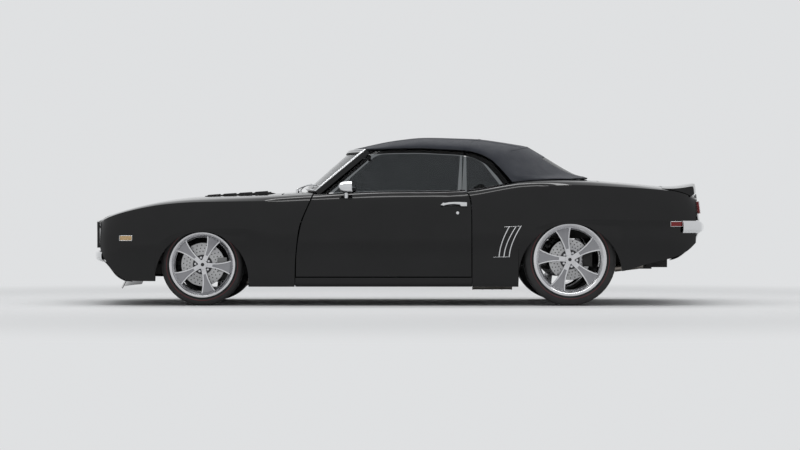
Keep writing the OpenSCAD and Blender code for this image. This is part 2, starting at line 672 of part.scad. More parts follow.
// Valance below the rear bumper: distance ahead of the tail, height
rear_valance_line = [[62, 538], [87, 467], [120, 430], [147, 402], [212, 350], [270, 338]];
module valances() {
  ys = steps(-700, 700, 14);
  yr = steps(-775, 775, 14);
  color("dimgray") {
    sheet([for (r = valance_line) [for (y = ys) valance_point(y, r[0])]], 5);
    sheet([for (z = steps(127, 184, 2)) [for (y = ys)
      [x_nose + 212 + (z - 127) * 0.5 + 62 * pow(y / 700, 2), y, z]]], 5);
    sheet([for (r = rear_valance_line) [for (y = yr)
      [x_tail - r[0] - tail_sweep * pow(y / 800, 2), y, r[1]]]], 5);
    both_sides() {
      box([x_nose + 163, 395, 249], [x_nose + 215 - lay, 415, 261]);
      box([trunk_end + 12 + lay, 280, 494], [x_tail - 90, 320, 506]);
    }
  }
}

// Tail panel between the quarters, with lamps in three parts on each side
function tail_point(y, z, off = 0) = [x_tail - 76 + (803 - z) * 0.13 - tail_sweep * pow(y / 800, 2)
  + off, y, z];
tail_z = [640, 670, 705, 740, 775, 782, 788, 812, 836];
function tail_half(z) = z < 776 ? side_y(x_tail - 150, z) - 12 : lookup(z, [[776, 728], [782, 690], [788,
  604]]);
module tail_panel() {
  color("dimgray") {
    sheet([for (z = tail_z) [for (u = steps(1, -1, 12)) tail_point(u * tail_half(z), z)]], 6);
    both_sides() box([trunk_end + 12 + lay, 480, 637], [x_tail - 92, 520, 649]);
  }
}
module rear_lamps() {
  color("red") both_sides() {
    for (k = [0:2])
      let (a = 318 + k * 126)
        sheet([for (z = steps(690, 780, 3)) [for (y = steps(a + 116, a, 3)) tail_point(y, z, 15)]], 14);
    sheet(on_side(x_tail - 345, x_tail - 259, 594, 625, 8), 6);
  }
}

// Deck filler between the fabric top and the trunk lid
filler_grid = [for (x = steps(x_rear + 80, lid_x[0] - hinge_gap, 4)) [for (u = steps(-1, 1, 12))
  top_point(x, u * (curve(quarter_edge, x) - lay))]];
module deck_filler() {
  color("dimgray") {
    sheet(filler_grid, skin);
    both_sides() {
      box([lid_pin[0] - 14, lid_pin[1] + 12, lid_pin_z() - 106], [lid_pin[0] + 14, lid_pin[1] + 26,
        lid_pin_z() + 10]);
      box([lid_x[0] - 50, lid_pin[1] + 12, lid_pin_z() - 106], [lid_pin[0] + 14, lid_pin[1] + 26,
        lid_pin_z() - 82]);
      box([lid_x[0] - 50, lid_pin[1] - 30, lid_pin_z() - 106], [lid_x[0] - 36, lid_pin[1] + 26,
        lid_pin_z() + 34]);
      translate([lid_pin[0], lid_pin[1] + 20, lid_pin_z()]) rotate([90, 0, 0]) cylinder(r = pin_r, h = 36);
    }
  }
}

// Windscreen on a bent surface; u runs across and v up
function screen_point(u, v, off = 0) =
  let (y = u * (690 - 105 * v))
  [x_front + 766 + 325 * v + (91 + 35 * v) * u * u - off * 0.68, y, 882 + (roof_z(0.719) - 882) * v
    - (22 - 16 * v) * u * u + off * 0.73];
frame_u = concat([-1.05, -0.98], steps(-0.88, 0.88, 10), [0.98, 1.05]);
frame_v = concat([-0.046, 0.06], steps(0.18, 0.82, 4), [0.93, 1.002]);
module windscreen_frame() {
  outer = [for (v = frame_v) [for (u = frame_u) screen_point(u, v, 14)]];
  inside = [for (v = frame_v) [for (u = frame_u) screen_point(u, v, -24)]];
  nu = len(frame_u) - 1;
  nv = len(frame_v) - 1;
  color("silver") panel(outer, inside, [1, nv - 1, 1, nu - 1]);
}
module fixed_glass() {
  color("lightsteelblue", 0.5) {
    sheet([for (v = steps(0.0618, 0.9282, 6)) [for (u = steps(-0.9785, 0.9785, 12)) screen_point(u, v,
      2)]], glass_t);
    both_sides() sheet(pane(x_rear - 768, x_rear - 447, x_rear - 768, x_rear - 600, 5), glass_t);
    sheet([for (s = steps(6.015, 8.985, 6)) [for (f = steps(0.0025 - window_f, window_f - 0.0025, 4))
      canvas_point(s, f, -2)]], 4);
  }
}

// Fabric top: s runs along the rows of its table, f across from -1 to 1
function row_at(s) = let (i = min(len(top_line) - 2, floor(s)), u = s - i) top_line[i] * (1 - u)
  + top_line[i + 1] * u;
function canvas_point(s, f, off = 0) =
  let (
    r = row_at(s),
    a = 90 * (1 - abs(f)),
    c = pow(cos(a), 0.82),
    d = pow(sin(a), 0.82),
    y = sign(f) * r[1] * c)
  [r[3] + (r[0] - r[3]) * pow(c, s < 3 ? 2 : 2 + 2 * min(1, s - 3)), y, r[2] + (r[4] - r[2]) * d + off];
canvas_s = [0, 0.5, 1, 1.5, 2, 2.5, 3, 4, 5, 6, 7, 8, 9, 10];
window_f = 0.37;
canvas_f = concat([-1, -0.91, -0.8, -0.66, -0.5], steps(-window_f, window_f, 4), [0.5, 0.66, 0.8, 0.91, 1]);
module soft_top() {
  color("darkslategray") sheet([for (s = canvas_s) [for (f = canvas_f) canvas_point(s, f)]], canvas_t,
    [9, 12, 5, 9]);
}

// Floor with its tunnel, rear wheel houses and trunk floor
seat_pan_x = x_rear - 640;
seat_back_x = x_rear - 342;
trunk_end = x_tail - 245;
module floor_pan() {
  color("black") difference() {
    union() {
      box([cowl_x[0] + 42 + lay, lay - 640, floor_z], [seat_pan_x + 12, 640 - lay, floor_z + 12]);
      box([pillar_x[1] + lay, lay - 690, floor_z], [seat_pan_x + 12, 690 - lay, floor_z + 12]);
      box([cowl_x[0] + 42 + lay, -tunnel_w, floor_z], [seat_pan_x + 12, tunnel_w, floor_z + 190]);
      box([seat_pan_x, lay - 690, floor_z], [seat_pan_x + 12, 690 - lay, 310]);
      box([seat_pan_x, lay - 690, 298], [seat_back_x + 12, 690 - lay, 310]);
      box([seat_pan_x, -tunnel_w, 298], [seat_back_x + 12, tunnel_w, floor_z + 190]);
      box([seat_back_x, -690, 298], [seat_back_x + 12, 690, 520]);
      box([seat_back_x, -690, 508], [x_rear + 300, 690, 520]);
      box([x_rear + 288, -690, 400], [x_rear + 300, 690, 520]);
      box([x_rear + 288, -690, 400], [trunk_end, 690, 412]);
      box([trunk_end, -690, 400], [trunk_end + 12, 690, 640]);
      both_sides() box([x_rear - 380, 580, 500], [x_rear + 385, 720, rear_tyre_d + 30]);
    }
    box([cowl_x[0], 12 - tunnel_w, floor_z - 1], [seat_back_x + 13, tunnel_w - 12, floor_z + 178]);
    both_sides() translate([x_rear, 592, rear_tyre_d / 2]) rotate([-90, 0, 0])
      cylinder(r = rear_tyre_d / 2 + 20, h = 300);
  }
}

// Walls between the front wheels and the engine bay
module inner_fenders() {
  color("black") both_sides() difference() {
    union() {
      box([x_front - 560, 462, 330], [cowl_x[0] + 30 - lay, 468, 690]);
      box([x_front - 560, 462, 684], [cowl_x[0] + 30 - lay, 640, 690]);
    }
    box([x_front - 130, 455, 320], [x_front + 130, 475, front_tyre_d / 2 + 140]);
  }
}

// Cabin
dash_x = [cowl_x[0] + 42, x_front + 960];
wheel_place = [x_front + 1120, -375, 745];
wheel_tilt = 24;
module dashboard() {
  color("black") {
    rotate([90, 0, 0]) translate([0, 0, -630]) linear_extrude(1260)
      polygon([
        [dash_x[0] + lay, 560], [dash_x[1] - 60, 560], [dash_x[1] - 20, 620], [dash_x[1], 760],
          [dash_x[1] - 30, 806],
        [dash_x[0] + 130, 812], [dash_x[0] + lay, 790]]);
    translate(wheel_place) rotate([0, 90 + wheel_tilt - 48, 0]) translate([0, 0, -330]) cylinder(r = 32,
      h = 300);
    translate(wheel_place) rotate([0, 90 + wheel_tilt - 48, 0]) translate([0, 0, -60]) cylinder(r = 10,
      h = 53);
  }
}
module steering_wheel() {
  color("black") translate(wheel_place) rotate([0, 90 + wheel_tilt - 48, 0]) difference() {
    union() {
      rotate_extrude() translate([178, 0]) circle(r = 14, $fn = 24);
      translate([0, 0, -22]) cylinder(r = 48, h = 26);
      for (a = [0, 120, 240]) rotate([0, 0, a + 90]) translate([40, -15, -12]) cube([130, 30, 8]);
    }
    translate([0, 0, -40]) cylinder(r = 10 + pin_clear, h = 34);
  }
}
module cushion(a, b, r) {
  hull() for (x = [a[0] + r, b[0] - r], y = [a[1] + r, b[1] - r], z = [a[2] + r, b[2] - r])
    translate([x, y, z]) sphere(r = r, $fn = 8);
}
seat_x = x_front + 1420;
module seats() {
  color("black") {
    both_sides() {
      box([seat_x + 30, 190, floor_z + 12 + lay], [seat_x + 420, 590, 270]);
      cushion([seat_x, 160, 250], [seat_x + 500, 620, 400], 50);
      translate([seat_x + 440, 0, 330]) rotate([0, 17, 0]) {
        cushion([0, 160, 0], [120, 620, 470], 50);
        cushion([15, 270, 480], [105, 510, 640], 40);
        for (y = [340, 440]) translate([60, y, 440]) cylinder(r = 8, h = 80, $fn = 8);
      }
    }
    cushion([seat_pan_x + 16, -560, floor_z + 190 + lay], [seat_back_x - lay, 560, 510], 50);
    box([seat_pan_x + 60, -140, floor_z + 190 + lay], [seat_back_x - 60, 140, 420]);
    translate([seat_back_x - 16, 0, 544]) rotate([0, 20, 0]) cushion([0, -560, 0], [110, 560, 320], 50);
  }
}

// Underbody
module engine() {
  color("gray") {
    box([x_front - 330, -300, 270], [x_front + 440, 300, 700]);
    box([x_front + 440, -120, 230], [x_front + 1180, 120, 360]);
    translate([x_front + 1180, 0, 300]) rotate([0, 90, 0]) cylinder(r = 38, h = x_rear - 130 - lay
      - x_front - 1180);
  }
}
module front_subframe() {
  zc = front_tyre_d / 2;
  color("black") {
    both_sides() {
      box([x_nose + 215, 370, 230], [x_front + 560, 440, 300]);
      box([x_nose + 215, 370, 230], [x_nose + 290, 440, 345 - lay]);
      box([x_front + 490, 370, 150], [x_front + 900, 440, floor_z - lay]);
      box([x_front + 490, 370, 150], [x_front + 560, 440, 300]);
      for (s = [-1, 1]) {
        zz = s * 118;
        hull() {
          translate([x_front, kingpin_y, zc + zz - 9]) cylinder(r = 24, h = 18, $fn = 24);
          translate([x_front - 90, 430, zc + zz - 9]) cube([180, 10, 18]);
        }
        translate([x_front, kingpin_y, zc + zz - (s > 0 ? 40 : 0)]) cylinder(r = 12, h = 40);
      }
      box([x_front - 110, 400, zc - 130], [x_front + 110, 450, zc + 130]);
    }
    box([x_front - 110, -440, 176], [x_front + 110, 440, 270 - lay]);
  }
}
module knuckle() {
  zc = front_tyre_d / 2;
  color("gray") difference() {
    union() {
      translate([x_front, kingpin_y, zc - 92]) cylinder(r = 28, h = 184);
      translate([x_front, kingpin_y, zc]) rotate([-90, 0, 0]) cylinder(r = 40, h = 24);
      translate([x_front, kingpin_y, zc]) rotate([-90, 0, 0]) cylinder(r = spindle_r, h = front_y
        - kingpin_y + front_tyre_w / 2 - 56);
      caliper(front_disc_d, kingpin_y, front_y + 10, zc, x_front);
    }
    for (s = [-1, 1]) translate([x_front, kingpin_y, zc + s * 118 - (s > 0 ? 41 : 1)]) cylinder(r = 12
      + pin_clear, h = 42);
  }
}
// Brake caliper behind the axle, over the rim of the disc
module caliper(d, y0, y1, z, x) {
  difference() {
    union() {
      box([x + d / 2 - 52, y1 - 30, z - 52], [x + d / 2 + 16, y1 + 22, z + 52]);
      box([x, y0 - 12, z - 26], [x + d / 2 + 10, y0 + 14, z + 26]);
      box([x + d / 2 - 52, y0 - 12, z - 40], [x + d / 2 + 16, y1 - 20, z + 40]);
    }
    translate([x, y1 - 16, z]) rotate([-90, 0, 0]) cylinder(r = d / 2 + 8, h = 32);
  }
}
module knuckle_right() {
  knuckle();
}
module knuckle_left() {
  from_left() knuckle();
}
module rear_axle() {
  z = rear_tyre_d / 2;
  color("black") {
    translate([x_rear, 640, z]) rotate([90, 0, 0]) cylinder(r = 40, h = 1280);
    translate([x_rear, 0, z]) sphere(r = 130);
    both_sides() {
      translate([x_rear, 630, z]) rotate([-90, 0, 0]) cylinder(r = spindle_r, h = rear_y - 630 + 66);
      difference() {
        caliper(rear_disc_d, 650, rear_y + 10, z, x_rear);
        translate([x_rear, 600, z]) rotate([-90, 0, 0]) cylinder(r = 20, h = 40);
      }
      box([seat_pan_x + 20, 470, z - 74], [x_rear + 640, 530, z - 54]);
      box([x_rear - 50, 470, z - 70], [x_rear + 50, 530, z]);
      box([seat_pan_x + 20, 470, z - 74], [seat_pan_x + 60, 530, 298 - lay]);
      box([x_rear + 600, 470, z - 74], [x_rear + 640, 530, 400 - lay]);
    }
  }
}
muffler_r = 36;
module exhaust() {
  mz = floor_z - muffler_r - 2 - lay;
  color("silver") both_sides() {
    translate([x_front + 300, 250, floor_z - 26 - lay]) rotate([0, 90, 0]) cylinder(r = 26, h = 1100);
    translate([x_rear - 722, 620, mz]) rotate([0, 90, 0]) {
      cylinder(r = muffler_r, h = 300);
      for (k = [0:4]) translate([0, 0, k * 73]) cylinder(r = muffler_r + 2, h = 8);
    }
    translate([x_rear + 352, 600, 278]) rotate([0, 83, 0]) difference() {
      cylinder(r = 30, h = 215);
      translate([0, 0, 60]) cylinder(r = 26, h = 200);
    }
    box([x_rear + 400, 594, 296], [x_rear + 412, 606, 400 - lay]);
  }
}
module fuel_tank() {
  color("gray") box([x_rear + 330, -420, 280], [x_rear + 770, 420, 400 - lay]);
}

// Three curved vents ahead of each rear wheel: top and bottom place
gill_top = [x_rear - 460, x_rear - 410, x_rear - 375];
gill_low = [x_rear - 535, x_rear - 499, x_rear - 460];
module gill_vents() {
  color("silver") both_sides() for (k = [0:2])
    sheet(turned([for (w = [0, 7]) [for (f = steps(0, 1, 6))
      let (z = 364 + f * 226, x = gill_low[k] + (gill_top[k] - gill_low[k]) * pow(f, 1.7) + w)
      [x, side_y(x, z) + 9, z]]]), 8);
}

// Wheels and tyres, with the outer side along +Z
module tyre(d, w, rim) {
  r = d / 2;
  b = rim / 2 - 16;
  h = w / 2;
  rotate_extrude($fn = 96) polygon([
    [b, -h + 13], [rim / 2 + 3, -h + 13], [rim / 2 + 10, -h + 3], [(r + rim / 2) / 2, -h], [r - 14, -h
      + 6], [r - 4, -h + 16], [r, -h + 34],
    [r, h - 34], [r - 4, h - 16], [r - 14, h - 6], [(r + rim / 2) / 2, h], [rim / 2 + 10, h - 3],
      [rim / 2 + 3, h - 13], [b, h - 13]]);
}
// Half width of a spoke along its length, as shares of the rim radius
spoke_line = [[0.08, 0.07], [0.3, 0.07], [0.45, 0.088], [0.6, 0.122], [0.75, 0.172], [0.92, 0.25]];
module spoke_shape(r, from, less) {
  rows = [for (p = spoke_line) if (p[0] >= from) [r * p[0], r * p[1] - less]];
  n = len(rows);
  polygon(concat(rows, [for (k = [n - 1:-1:0]) [rows[k][0], -rows[k][1]]]));
}
recess = 6;
// Domed wheel nut: radius, height
lug_line = [[0, 0], [11, 0], [11, 15], [9.5, 20], [6, 23.5], [0, 25]];
module spoke_layer(r, h, turn, low, top, open) {
  intersection() {
    rotate_extrude($fn = 96) polygon(concat(low, top));
    for (k = [0:spoke_count - 1]) rotate([0, 0, turn + 360 / spoke_count * k])
      translate([0, 0, -h]) linear_extrude(3 * h) difference() {
        spoke_shape(r, 0, 0);
        if (open) spoke_shape(r, 0.29, 9);
      }
  }
}
module wheel(d, w, turn) {
  r = d / 2;
  h = w / 2 - 12;
  edge = [[r * 0.93, h - 12], [r * 0.6, h - 22], [r * 0.26, h - 30], [20, h - 30]];
  face = [for (p = edge) p - [0, recess]];
  under = [for (k = [3:-1:0]) face[k] - [0, 3]];
  rotate_extrude($fn = 96) polygon([
    [r - 16 - lay, -h], [r - 16 - lay, h - lay], [r, h - lay], [r, h + 5], [r - 5, h + 10], [r - 13, h + 8],
    [r * 0.84, h - 22], [r * 0.82, h - 32], [r * 0.83, h - 44], [r - 44, -h + 20], [r - 30, -h]]);
  difference() {
    union() {
      translate([0, 0, h - 74]) cylinder(r = 74, h = 36);
      spoke_layer(r, h, turn, [[20, h - 62], [r - 60, h - 48], [r * 0.93, h - 38]], face, false);
      spoke_layer(r, h, turn, under, edge, true);
      translate([0, 0, h - 74]) rotate([0, 0, turn]) cylinder(r1 = 44, r2 = 35, h = 48);
      for (k = [0:spoke_count - 1]) rotate([0, 0, turn + 360 / spoke_count * (k + 0.5)])
        translate([54, 0, h - 40]) rotate_extrude($fn = 24) polygon(lug_line);
    }
    translate([0, 0, h - 130]) cylinder(r = spindle_r + pin_clear, h = 90);
    translate([0, 0, h - 34]) cylinder(r = 13, h = 40);
  }
}
module disc_of(w, disc) {
  h = w / 2 - 12;
  rotate_extrude($fn = 96) polygon([
    [spindle_r + pin_clear + 10, h - 74 - lay], [70, h - 74 - lay], [70, 20], [disc / 2, 20], [disc / 2,
      0], [60, 0], [60, h - 84], [spindle_r + pin_clear + 10, h - 84]]);
}
module at_wheel(x, y, z) {
  translate([x, -y, z]) rotate([90, 0, 0]) children();
}
module front_tyre() {
  color("black") at_wheel(x_front, front_y, front_tyre_d / 2) tyre(front_tyre_d, front_tyre_w, front_rim_d);
}
module rear_tyre() {
  color("black") at_wheel(x_rear, rear_y, rear_tyre_d / 2) tyre(rear_tyre_d, rear_tyre_w, rear_rim_d);
}
module front_wheel() {
  color("silver") at_wheel(x_front, front_y, front_tyre_d / 2) {
    wheel(front_rim_d, front_tyre_w, 66);
    disc_of(front_tyre_w, front_disc_d);
  }
}
module rear_wheel() {
  color("silver") at_wheel(x_rear, rear_y, rear_tyre_d / 2) {
    wheel(rear_rim_d, rear_tyre_w, 31);
    disc_of(rear_tyre_w, rear_disc_d);
  }
}
module tyre_front_left() {
  front_tyre();
}
module tyre_front_right() {
  from_left() front_tyre();
}
module tyre_rear_left() {
  rear_tyre();
}
module tyre_rear_right() {
  from_left() rear_tyre();
}
module wheel_front_left() {
  front_wheel();
}
module wheel_front_right() {
  from_left() front_wheel();
}
module wheel_rear_left() {
  rear_wheel();
}
module wheel_rear_right() {
  from_left() rear_wheel();
}

fenders();
quarters();
sills();
cowl();
nose_panel();
grille();
front_lamps();
bumpers();
valances();
tail_panel();
rear_lamps();
spoiler_ends();
deck_filler();
floor_pan();
inner_fenders();
windscreen_frame();
fixed_glass();
soft_top();
dashboard();
seats();
engine();
front_subframe();
rear_axle();
exhaust();
fuel_tank();
gill_vents();
door_left();
door_right();
door_glass_left();
door_glass_right();
door_fittings_left();
door_fittings_right();
hood();
hood_vents();
trunk_lid();
spoiler();
knuckle_left();
knuckle_right();
tyre_front_left();
tyre_front_right();
tyre_rear_left();
tyre_rear_right();
wheel_front_left();
wheel_front_right();
wheel_rear_left();
wheel_rear_right();
steering_wheel();
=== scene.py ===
import math

import bpy
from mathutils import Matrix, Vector
from mathutils.bvhtree import BVHTree


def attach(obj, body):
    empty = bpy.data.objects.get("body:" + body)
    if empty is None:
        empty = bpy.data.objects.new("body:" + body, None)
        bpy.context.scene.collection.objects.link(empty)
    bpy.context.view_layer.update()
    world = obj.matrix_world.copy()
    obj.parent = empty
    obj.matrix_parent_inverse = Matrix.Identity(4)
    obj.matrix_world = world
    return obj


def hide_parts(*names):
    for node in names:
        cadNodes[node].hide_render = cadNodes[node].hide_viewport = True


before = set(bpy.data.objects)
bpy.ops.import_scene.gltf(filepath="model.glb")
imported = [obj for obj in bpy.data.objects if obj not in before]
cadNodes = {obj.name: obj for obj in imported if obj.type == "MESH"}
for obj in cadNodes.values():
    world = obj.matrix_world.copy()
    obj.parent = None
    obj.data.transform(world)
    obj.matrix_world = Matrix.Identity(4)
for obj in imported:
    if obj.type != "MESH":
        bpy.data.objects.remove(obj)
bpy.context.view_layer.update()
print("frame loaded:", len(cadNodes), "nodes")


# selection and mesh helpers; distances in metres
mergeGap = {"node": 0.00003, "drawn": 0.00002}


def deselectAll():
    if bpy.context.object is not None and bpy.context.object.mode != "OBJECT":
        bpy.ops.object.mode_set(mode="OBJECT")
    bpy.ops.object.select_all(action="DESELECT")


def makeActive(obj):
    deselectAll()
    obj.select_set(True)
    bpy.context.view_layer.objects.active = obj


def editAll(obj, selectMode="VERT"):
    makeActive(obj)
    bpy.ops.object.mode_set(mode="EDIT")
    bpy.ops.mesh.select_mode(type=selectMode)
    bpy.ops.mesh.select_all(action="SELECT")


def leaveEdit():
    bpy.ops.object.mode_set(mode="OBJECT")


def applyModifier(obj, kind, settings):
    makeActive(obj)
    modifier = obj.modifiers.new(kind.lower(), kind)
    for key, value in settings.items():
        setattr(modifier, key, value)
    bpy.ops.object.modifier_apply(modifier=modifier.name)


def smoothShade(obj, degrees):
    makeActive(obj)
    bpy.ops.object.shade_smooth_by_angle(angle=math.radians(degrees))


def selectFaces(obj, test):
    # called in object mode; leaves the piece in edit mode with the matching faces selected
    editAll(obj, "FACE")
    bpy.ops.mesh.select_all(action="DESELECT")
    leaveEdit()
    for polygon in obj.data.polygons:
        polygon.select = bool(test(polygon))
    bpy.ops.object.mode_set(mode="EDIT")


def paintFaces(obj, finish, test):
    if finish.name not in [m.name for m in obj.data.materials if m]:
        obj.data.materials.append(finish)
    index = [m.name for m in obj.data.materials].index(finish.name)
    for polygon in obj.data.polygons:
        if test(polygon):
            polygon.material_index = index


def newPiece(obj, name, finish, body, stands=()):
    obj.name = name
    obj.data.name = name
    if not obj.data.materials:
        obj.data.materials.append(finish)
    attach(obj, body)
    if stands:
        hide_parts(*stands)
    return obj


def plainCopy(source, name):
    obj = source.copy()
    obj.data = source.data.copy()
    for key in list(obj.keys()):
        del obj[key]
    obj.parent = None
    obj.hide_render = False
    obj.hide_viewport = False
    bpy.context.scene.collection.objects.link(obj)
    obj.name = name
    obj.data.name = name
    return obj


def copyNode(nodeName, pieceName):
    obj = plainCopy(cadNodes[nodeName], pieceName)
    obj.data.materials.clear()
    editAll(obj)
    bpy.ops.mesh.customdata_custom_splitnormals_clear()
    bpy.ops.mesh.remove_doubles(threshold=mergeGap["node"])
    leaveEdit()
    return obj


def mirrorCopy(obj, name):
    twin = plainCopy(obj, name)
    editAll(twin)
    bpy.ops.transform.resize(value=(1, -1, 1), center_override=(0, 0, 0))
    bpy.ops.mesh.flip_normals()
    leaveEdit()
    return twin


def joinAll(parts, name):
    makeActive(parts[0])
    for part in parts:
        part.select_set(True)
    bpy.ops.object.join()
    parts[0].name = name
    return parts[0]


def smoothPanel(obj, sharp=34, levels=2, join=40, soft=()):
    # soft holds pairs of a test on an edge's two ends and the crease it gets
    editAll(obj)
    bpy.ops.mesh.tris_convert_to_quads(face_threshold=math.radians(join), shape_threshold=math.radians(60))
    bpy.ops.mesh.select_mode(type="EDGE")
    for test, crease in soft:
        bpy.ops.mesh.select_all(action="DESELECT")
        leaveEdit()
        for edge in obj.data.edges:
            edge.select = all(test(obj.data.vertices[v].co) for v in edge.vertices)
        bpy.ops.object.mode_set(mode="EDIT")
        bpy.ops.transform.edge_crease(value=crease)
    bpy.ops.mesh.select_all(action="DESELECT")
    bpy.ops.mesh.edges_select_sharp(sharpness=math.radians(sharp))
    bpy.ops.transform.edge_crease(value=1)
    leaveEdit()
    applyModifier(obj, "SUBSURF", {"levels": levels, "render_levels": levels})
    smoothShade(obj, 30)


def bevelSolid(obj, width=0.003, segments=2, angle=38, shade=38):
    editAll(obj, "FACE")
    bpy.ops.mesh.dissolve_limited(angle_limit=math.radians(0.6))
    leaveEdit()
    applyModifier(obj, "BEVEL", {
        "width": width, "segments": segments, "limit_method": "ANGLE",
        "angle_limit": math.radians(angle), "use_clamp_overlap": True})
    smoothShade(obj, shade)


def startPoint(name, place):
    deselectAll()
    bpy.ops.mesh.primitive_plane_add(size=0.01, location=(0, 0, 0))
    obj = bpy.context.object
    obj.name = name
    bpy.ops.object.mode_set(mode="EDIT")
    bpy.ops.mesh.select_mode(type="VERT")
    bpy.ops.mesh.select_all(action="SELECT")
    bpy.ops.mesh.merge(type="CENTER")
    bpy.ops.transform.translate(value=place)
    return obj


def drawLine(name, points, closed):
    obj = startPoint(name, points[0])
    for last, place in zip(points, points[1:]):
        bpy.ops.mesh.extrude_region_move(TRANSFORM_OT_translate={"value": Vector(place) - Vector(last)})
    if closed:
        bpy.ops.mesh.extrude_region_move(
            TRANSFORM_OT_translate={"value": Vector(points[0]) - Vector(points[-1])})
    bpy.ops.mesh.select_all(action="SELECT")
    bpy.ops.mesh.remove_doubles(threshold=mergeGap["drawn"])
    return obj


def lathe(name, centre, axis, profile, steps, closed=True):
    # profile holds (radius, distance along the axis); the line is drawn upward from the centre and spun
    way = Vector(axis)
    up = Vector((1, 0, 0)) if abs(way.z) > 0.9 else Vector((0, 0, 1))
    up = (up - way * up.dot(way)).normalized()
    obj = drawLine(name, [Vector(centre) + up * r + way * d for r, d in profile], closed)
    bpy.ops.mesh.select_all(action="SELECT")
    bpy.ops.mesh.spin(steps=steps, angle=2 * math.pi, center=centre, axis=axis)
    bpy.ops.mesh.select_all(action="SELECT")
    bpy.ops.mesh.remove_doubles(threshold=mergeGap["drawn"])
    bpy.ops.mesh.normals_make_consistent(inside=False)
    leaveEdit()
    smoothShade(obj, 35)
    return obj


def rodAlong(name, points, radius, closed=False):
    # a line of points thickened to a round bar
    obj = drawLine(name, points, closed)
    leaveEdit()
    makeActive(obj)
    bpy.ops.object.convert(target="CURVE")
    bar = bpy.context.object
    bar.data.bevel_depth = radius
    bar.data.bevel_resolution = 2
    bar.data.use_fill_caps = not closed
    bpy.ops.object.convert(target="MESH")
    bar = bpy.context.object
    editAll(bar)
    bpy.ops.mesh.remove_doubles(threshold=mergeGap["drawn"])
    bpy.ops.mesh.normals_make_consistent(inside=False)
    leaveEdit()
    bar.data.materials.clear()
    smoothShade(bar, 50)
    bar.name = name
    return bar


def roundBlock(name, low, high, radius, segments=3):
    middle = [(a + b) / 2 for a, b in zip(low, high)]
    deselectAll()
    bpy.ops.mesh.primitive_cube_add(size=1, location=(0, 0, 0))
    obj = bpy.context.object
    obj.name = name
    editAll(obj)
    bpy.ops.transform.resize(value=[b - a for a, b in zip(low, high)], center_override=(0, 0, 0))
    bpy.ops.transform.translate(value=middle)
    bpy.ops.mesh.bevel(offset=radius, segments=segments, affect="EDGES", profile=0.5)
    leaveEdit()
    smoothShade(obj, 40)
    return obj


def surfaceOf(obj):
    return BVHTree.FromPolygons(
        [v.co for v in obj.data.vertices], [tuple(p.vertices) for p in obj.data.polygons])


def placeOn(surface, start, way, proud):
    # the first place on a surface along a way, a little proud of it
    place = surface.ray_cast(Vector(start), Vector(way))[0]
    return place - Vector(way) * proud


def blend(line, x):
    for (a, p), (b, q) in zip(line, line[1:]):
        if x <= b:
            return p + (q - p) * max(0.0, x - a) / (b - a)
    return line[-1][1]


# materials

def addNode(tree, kind, **sockets):
    node = tree.nodes.new(kind)
    for key, value in sockets.items():
        node.inputs[key].default_value = value
    return node


def mathOn(tree, operation, first, second=None):
    node = tree.nodes.new("ShaderNodeMath")
    node.operation = operation
    for socket, value in zip(node.inputs, (first, second)):
        if isinstance(value, (int, float)):
            socket.default_value = value
        elif value is not None:
            tree.links.new(value, socket)
    return node.outputs[0]


def noiseOn(tree, coords, scale, detail=3.0, rough=0.5):
    noise = addNode(tree, "ShaderNodeTexNoise", Scale=scale, Detail=detail, Roughness=rough)
    tree.links.new(coords.outputs["Object"], noise.inputs["Vector"])
    return noise.outputs["Fac"]


def weaveOn(tree, coords, pitch):
    # warp and weft threads as two crossed waves
    waves = []
    for direction in ("X", "Y"):
        wave = addNode(tree, "ShaderNodeTexWave", Scale=1 / pitch, Distortion=0.3)
        wave.wave_type = "BANDS"
        wave.bands_direction = direction
        tree.links.new(coords.outputs["Object"], wave.inputs["Vector"])
        waves.append(wave.outputs["Fac"])
    return mathOn(tree, "MAXIMUM", waves[0], waves[1])


def grainOn(tree, coords, scale):
    cells = addNode(tree, "ShaderNodeTexVoronoi", Scale=scale)
    cells.feature = "SMOOTH_F1"
    tree.links.new(coords.outputs["Object"], cells.inputs["Vector"])
    return cells.outputs["Distance"]


def lengthOf(tree, a, b):
    squares = [mathOn(tree, "MULTIPLY", side, side) for side in (a, b)]
    return mathOn(tree, "SQRT", mathOn(tree, "ADD", *squares))


def holeShadeOn(tree, coords, holes):
    # painted shade for drill holes in rings about a wheel's axle: 1 inside a hole, 0 elsewhere; the holes are
    # not cut, their spots are painted near-black
    shift = addNode(tree, "ShaderNodeMapping", Location=[-c for c in holes["centre"]])
    tree.links.new(coords.outputs["Object"], shift.inputs["Vector"])
    split = tree.nodes.new("ShaderNodeSeparateXYZ")
    tree.links.new(shift.outputs["Vector"], split.inputs[0])
    x, z = split.outputs["X"], split.outputs["Z"]
    radius = lengthOf(tree, x, z)
    turn = mathOn(tree, "ARCTAN2", z, x)
    ring = mathOn(tree, "DIVIDE", mathOn(tree, "SUBTRACT", radius, holes["from"]), holes["pitch"])
    offset = mathOn(tree, "MULTIPLY", mathOn(tree, "FLOOR", ring), 0.37)
    step = mathOn(tree, "ADD", mathOn(tree, "MULTIPLY", turn, holes["count"] / (2 * math.pi)), offset)
    across = mathOn(tree, "MULTIPLY", mathOn(tree, "SUBTRACT", mathOn(tree, "FRACT", step), 0.5),
                    mathOn(tree, "MULTIPLY", radius, 2 * math.pi / holes["count"]))
    along = mathOn(tree, "MULTIPLY", mathOn(tree, "SUBTRACT", mathOn(tree, "FRACT", ring), 0.5),
                   holes["pitch"])
    inside = mathOn(tree, "LESS_THAN", lengthOf(tree, across, along), holes["size"])
    return mathOn(tree, "MULTIPLY", inside, mathOn(tree, "GREATER_THAN", radius, holes["from"]))


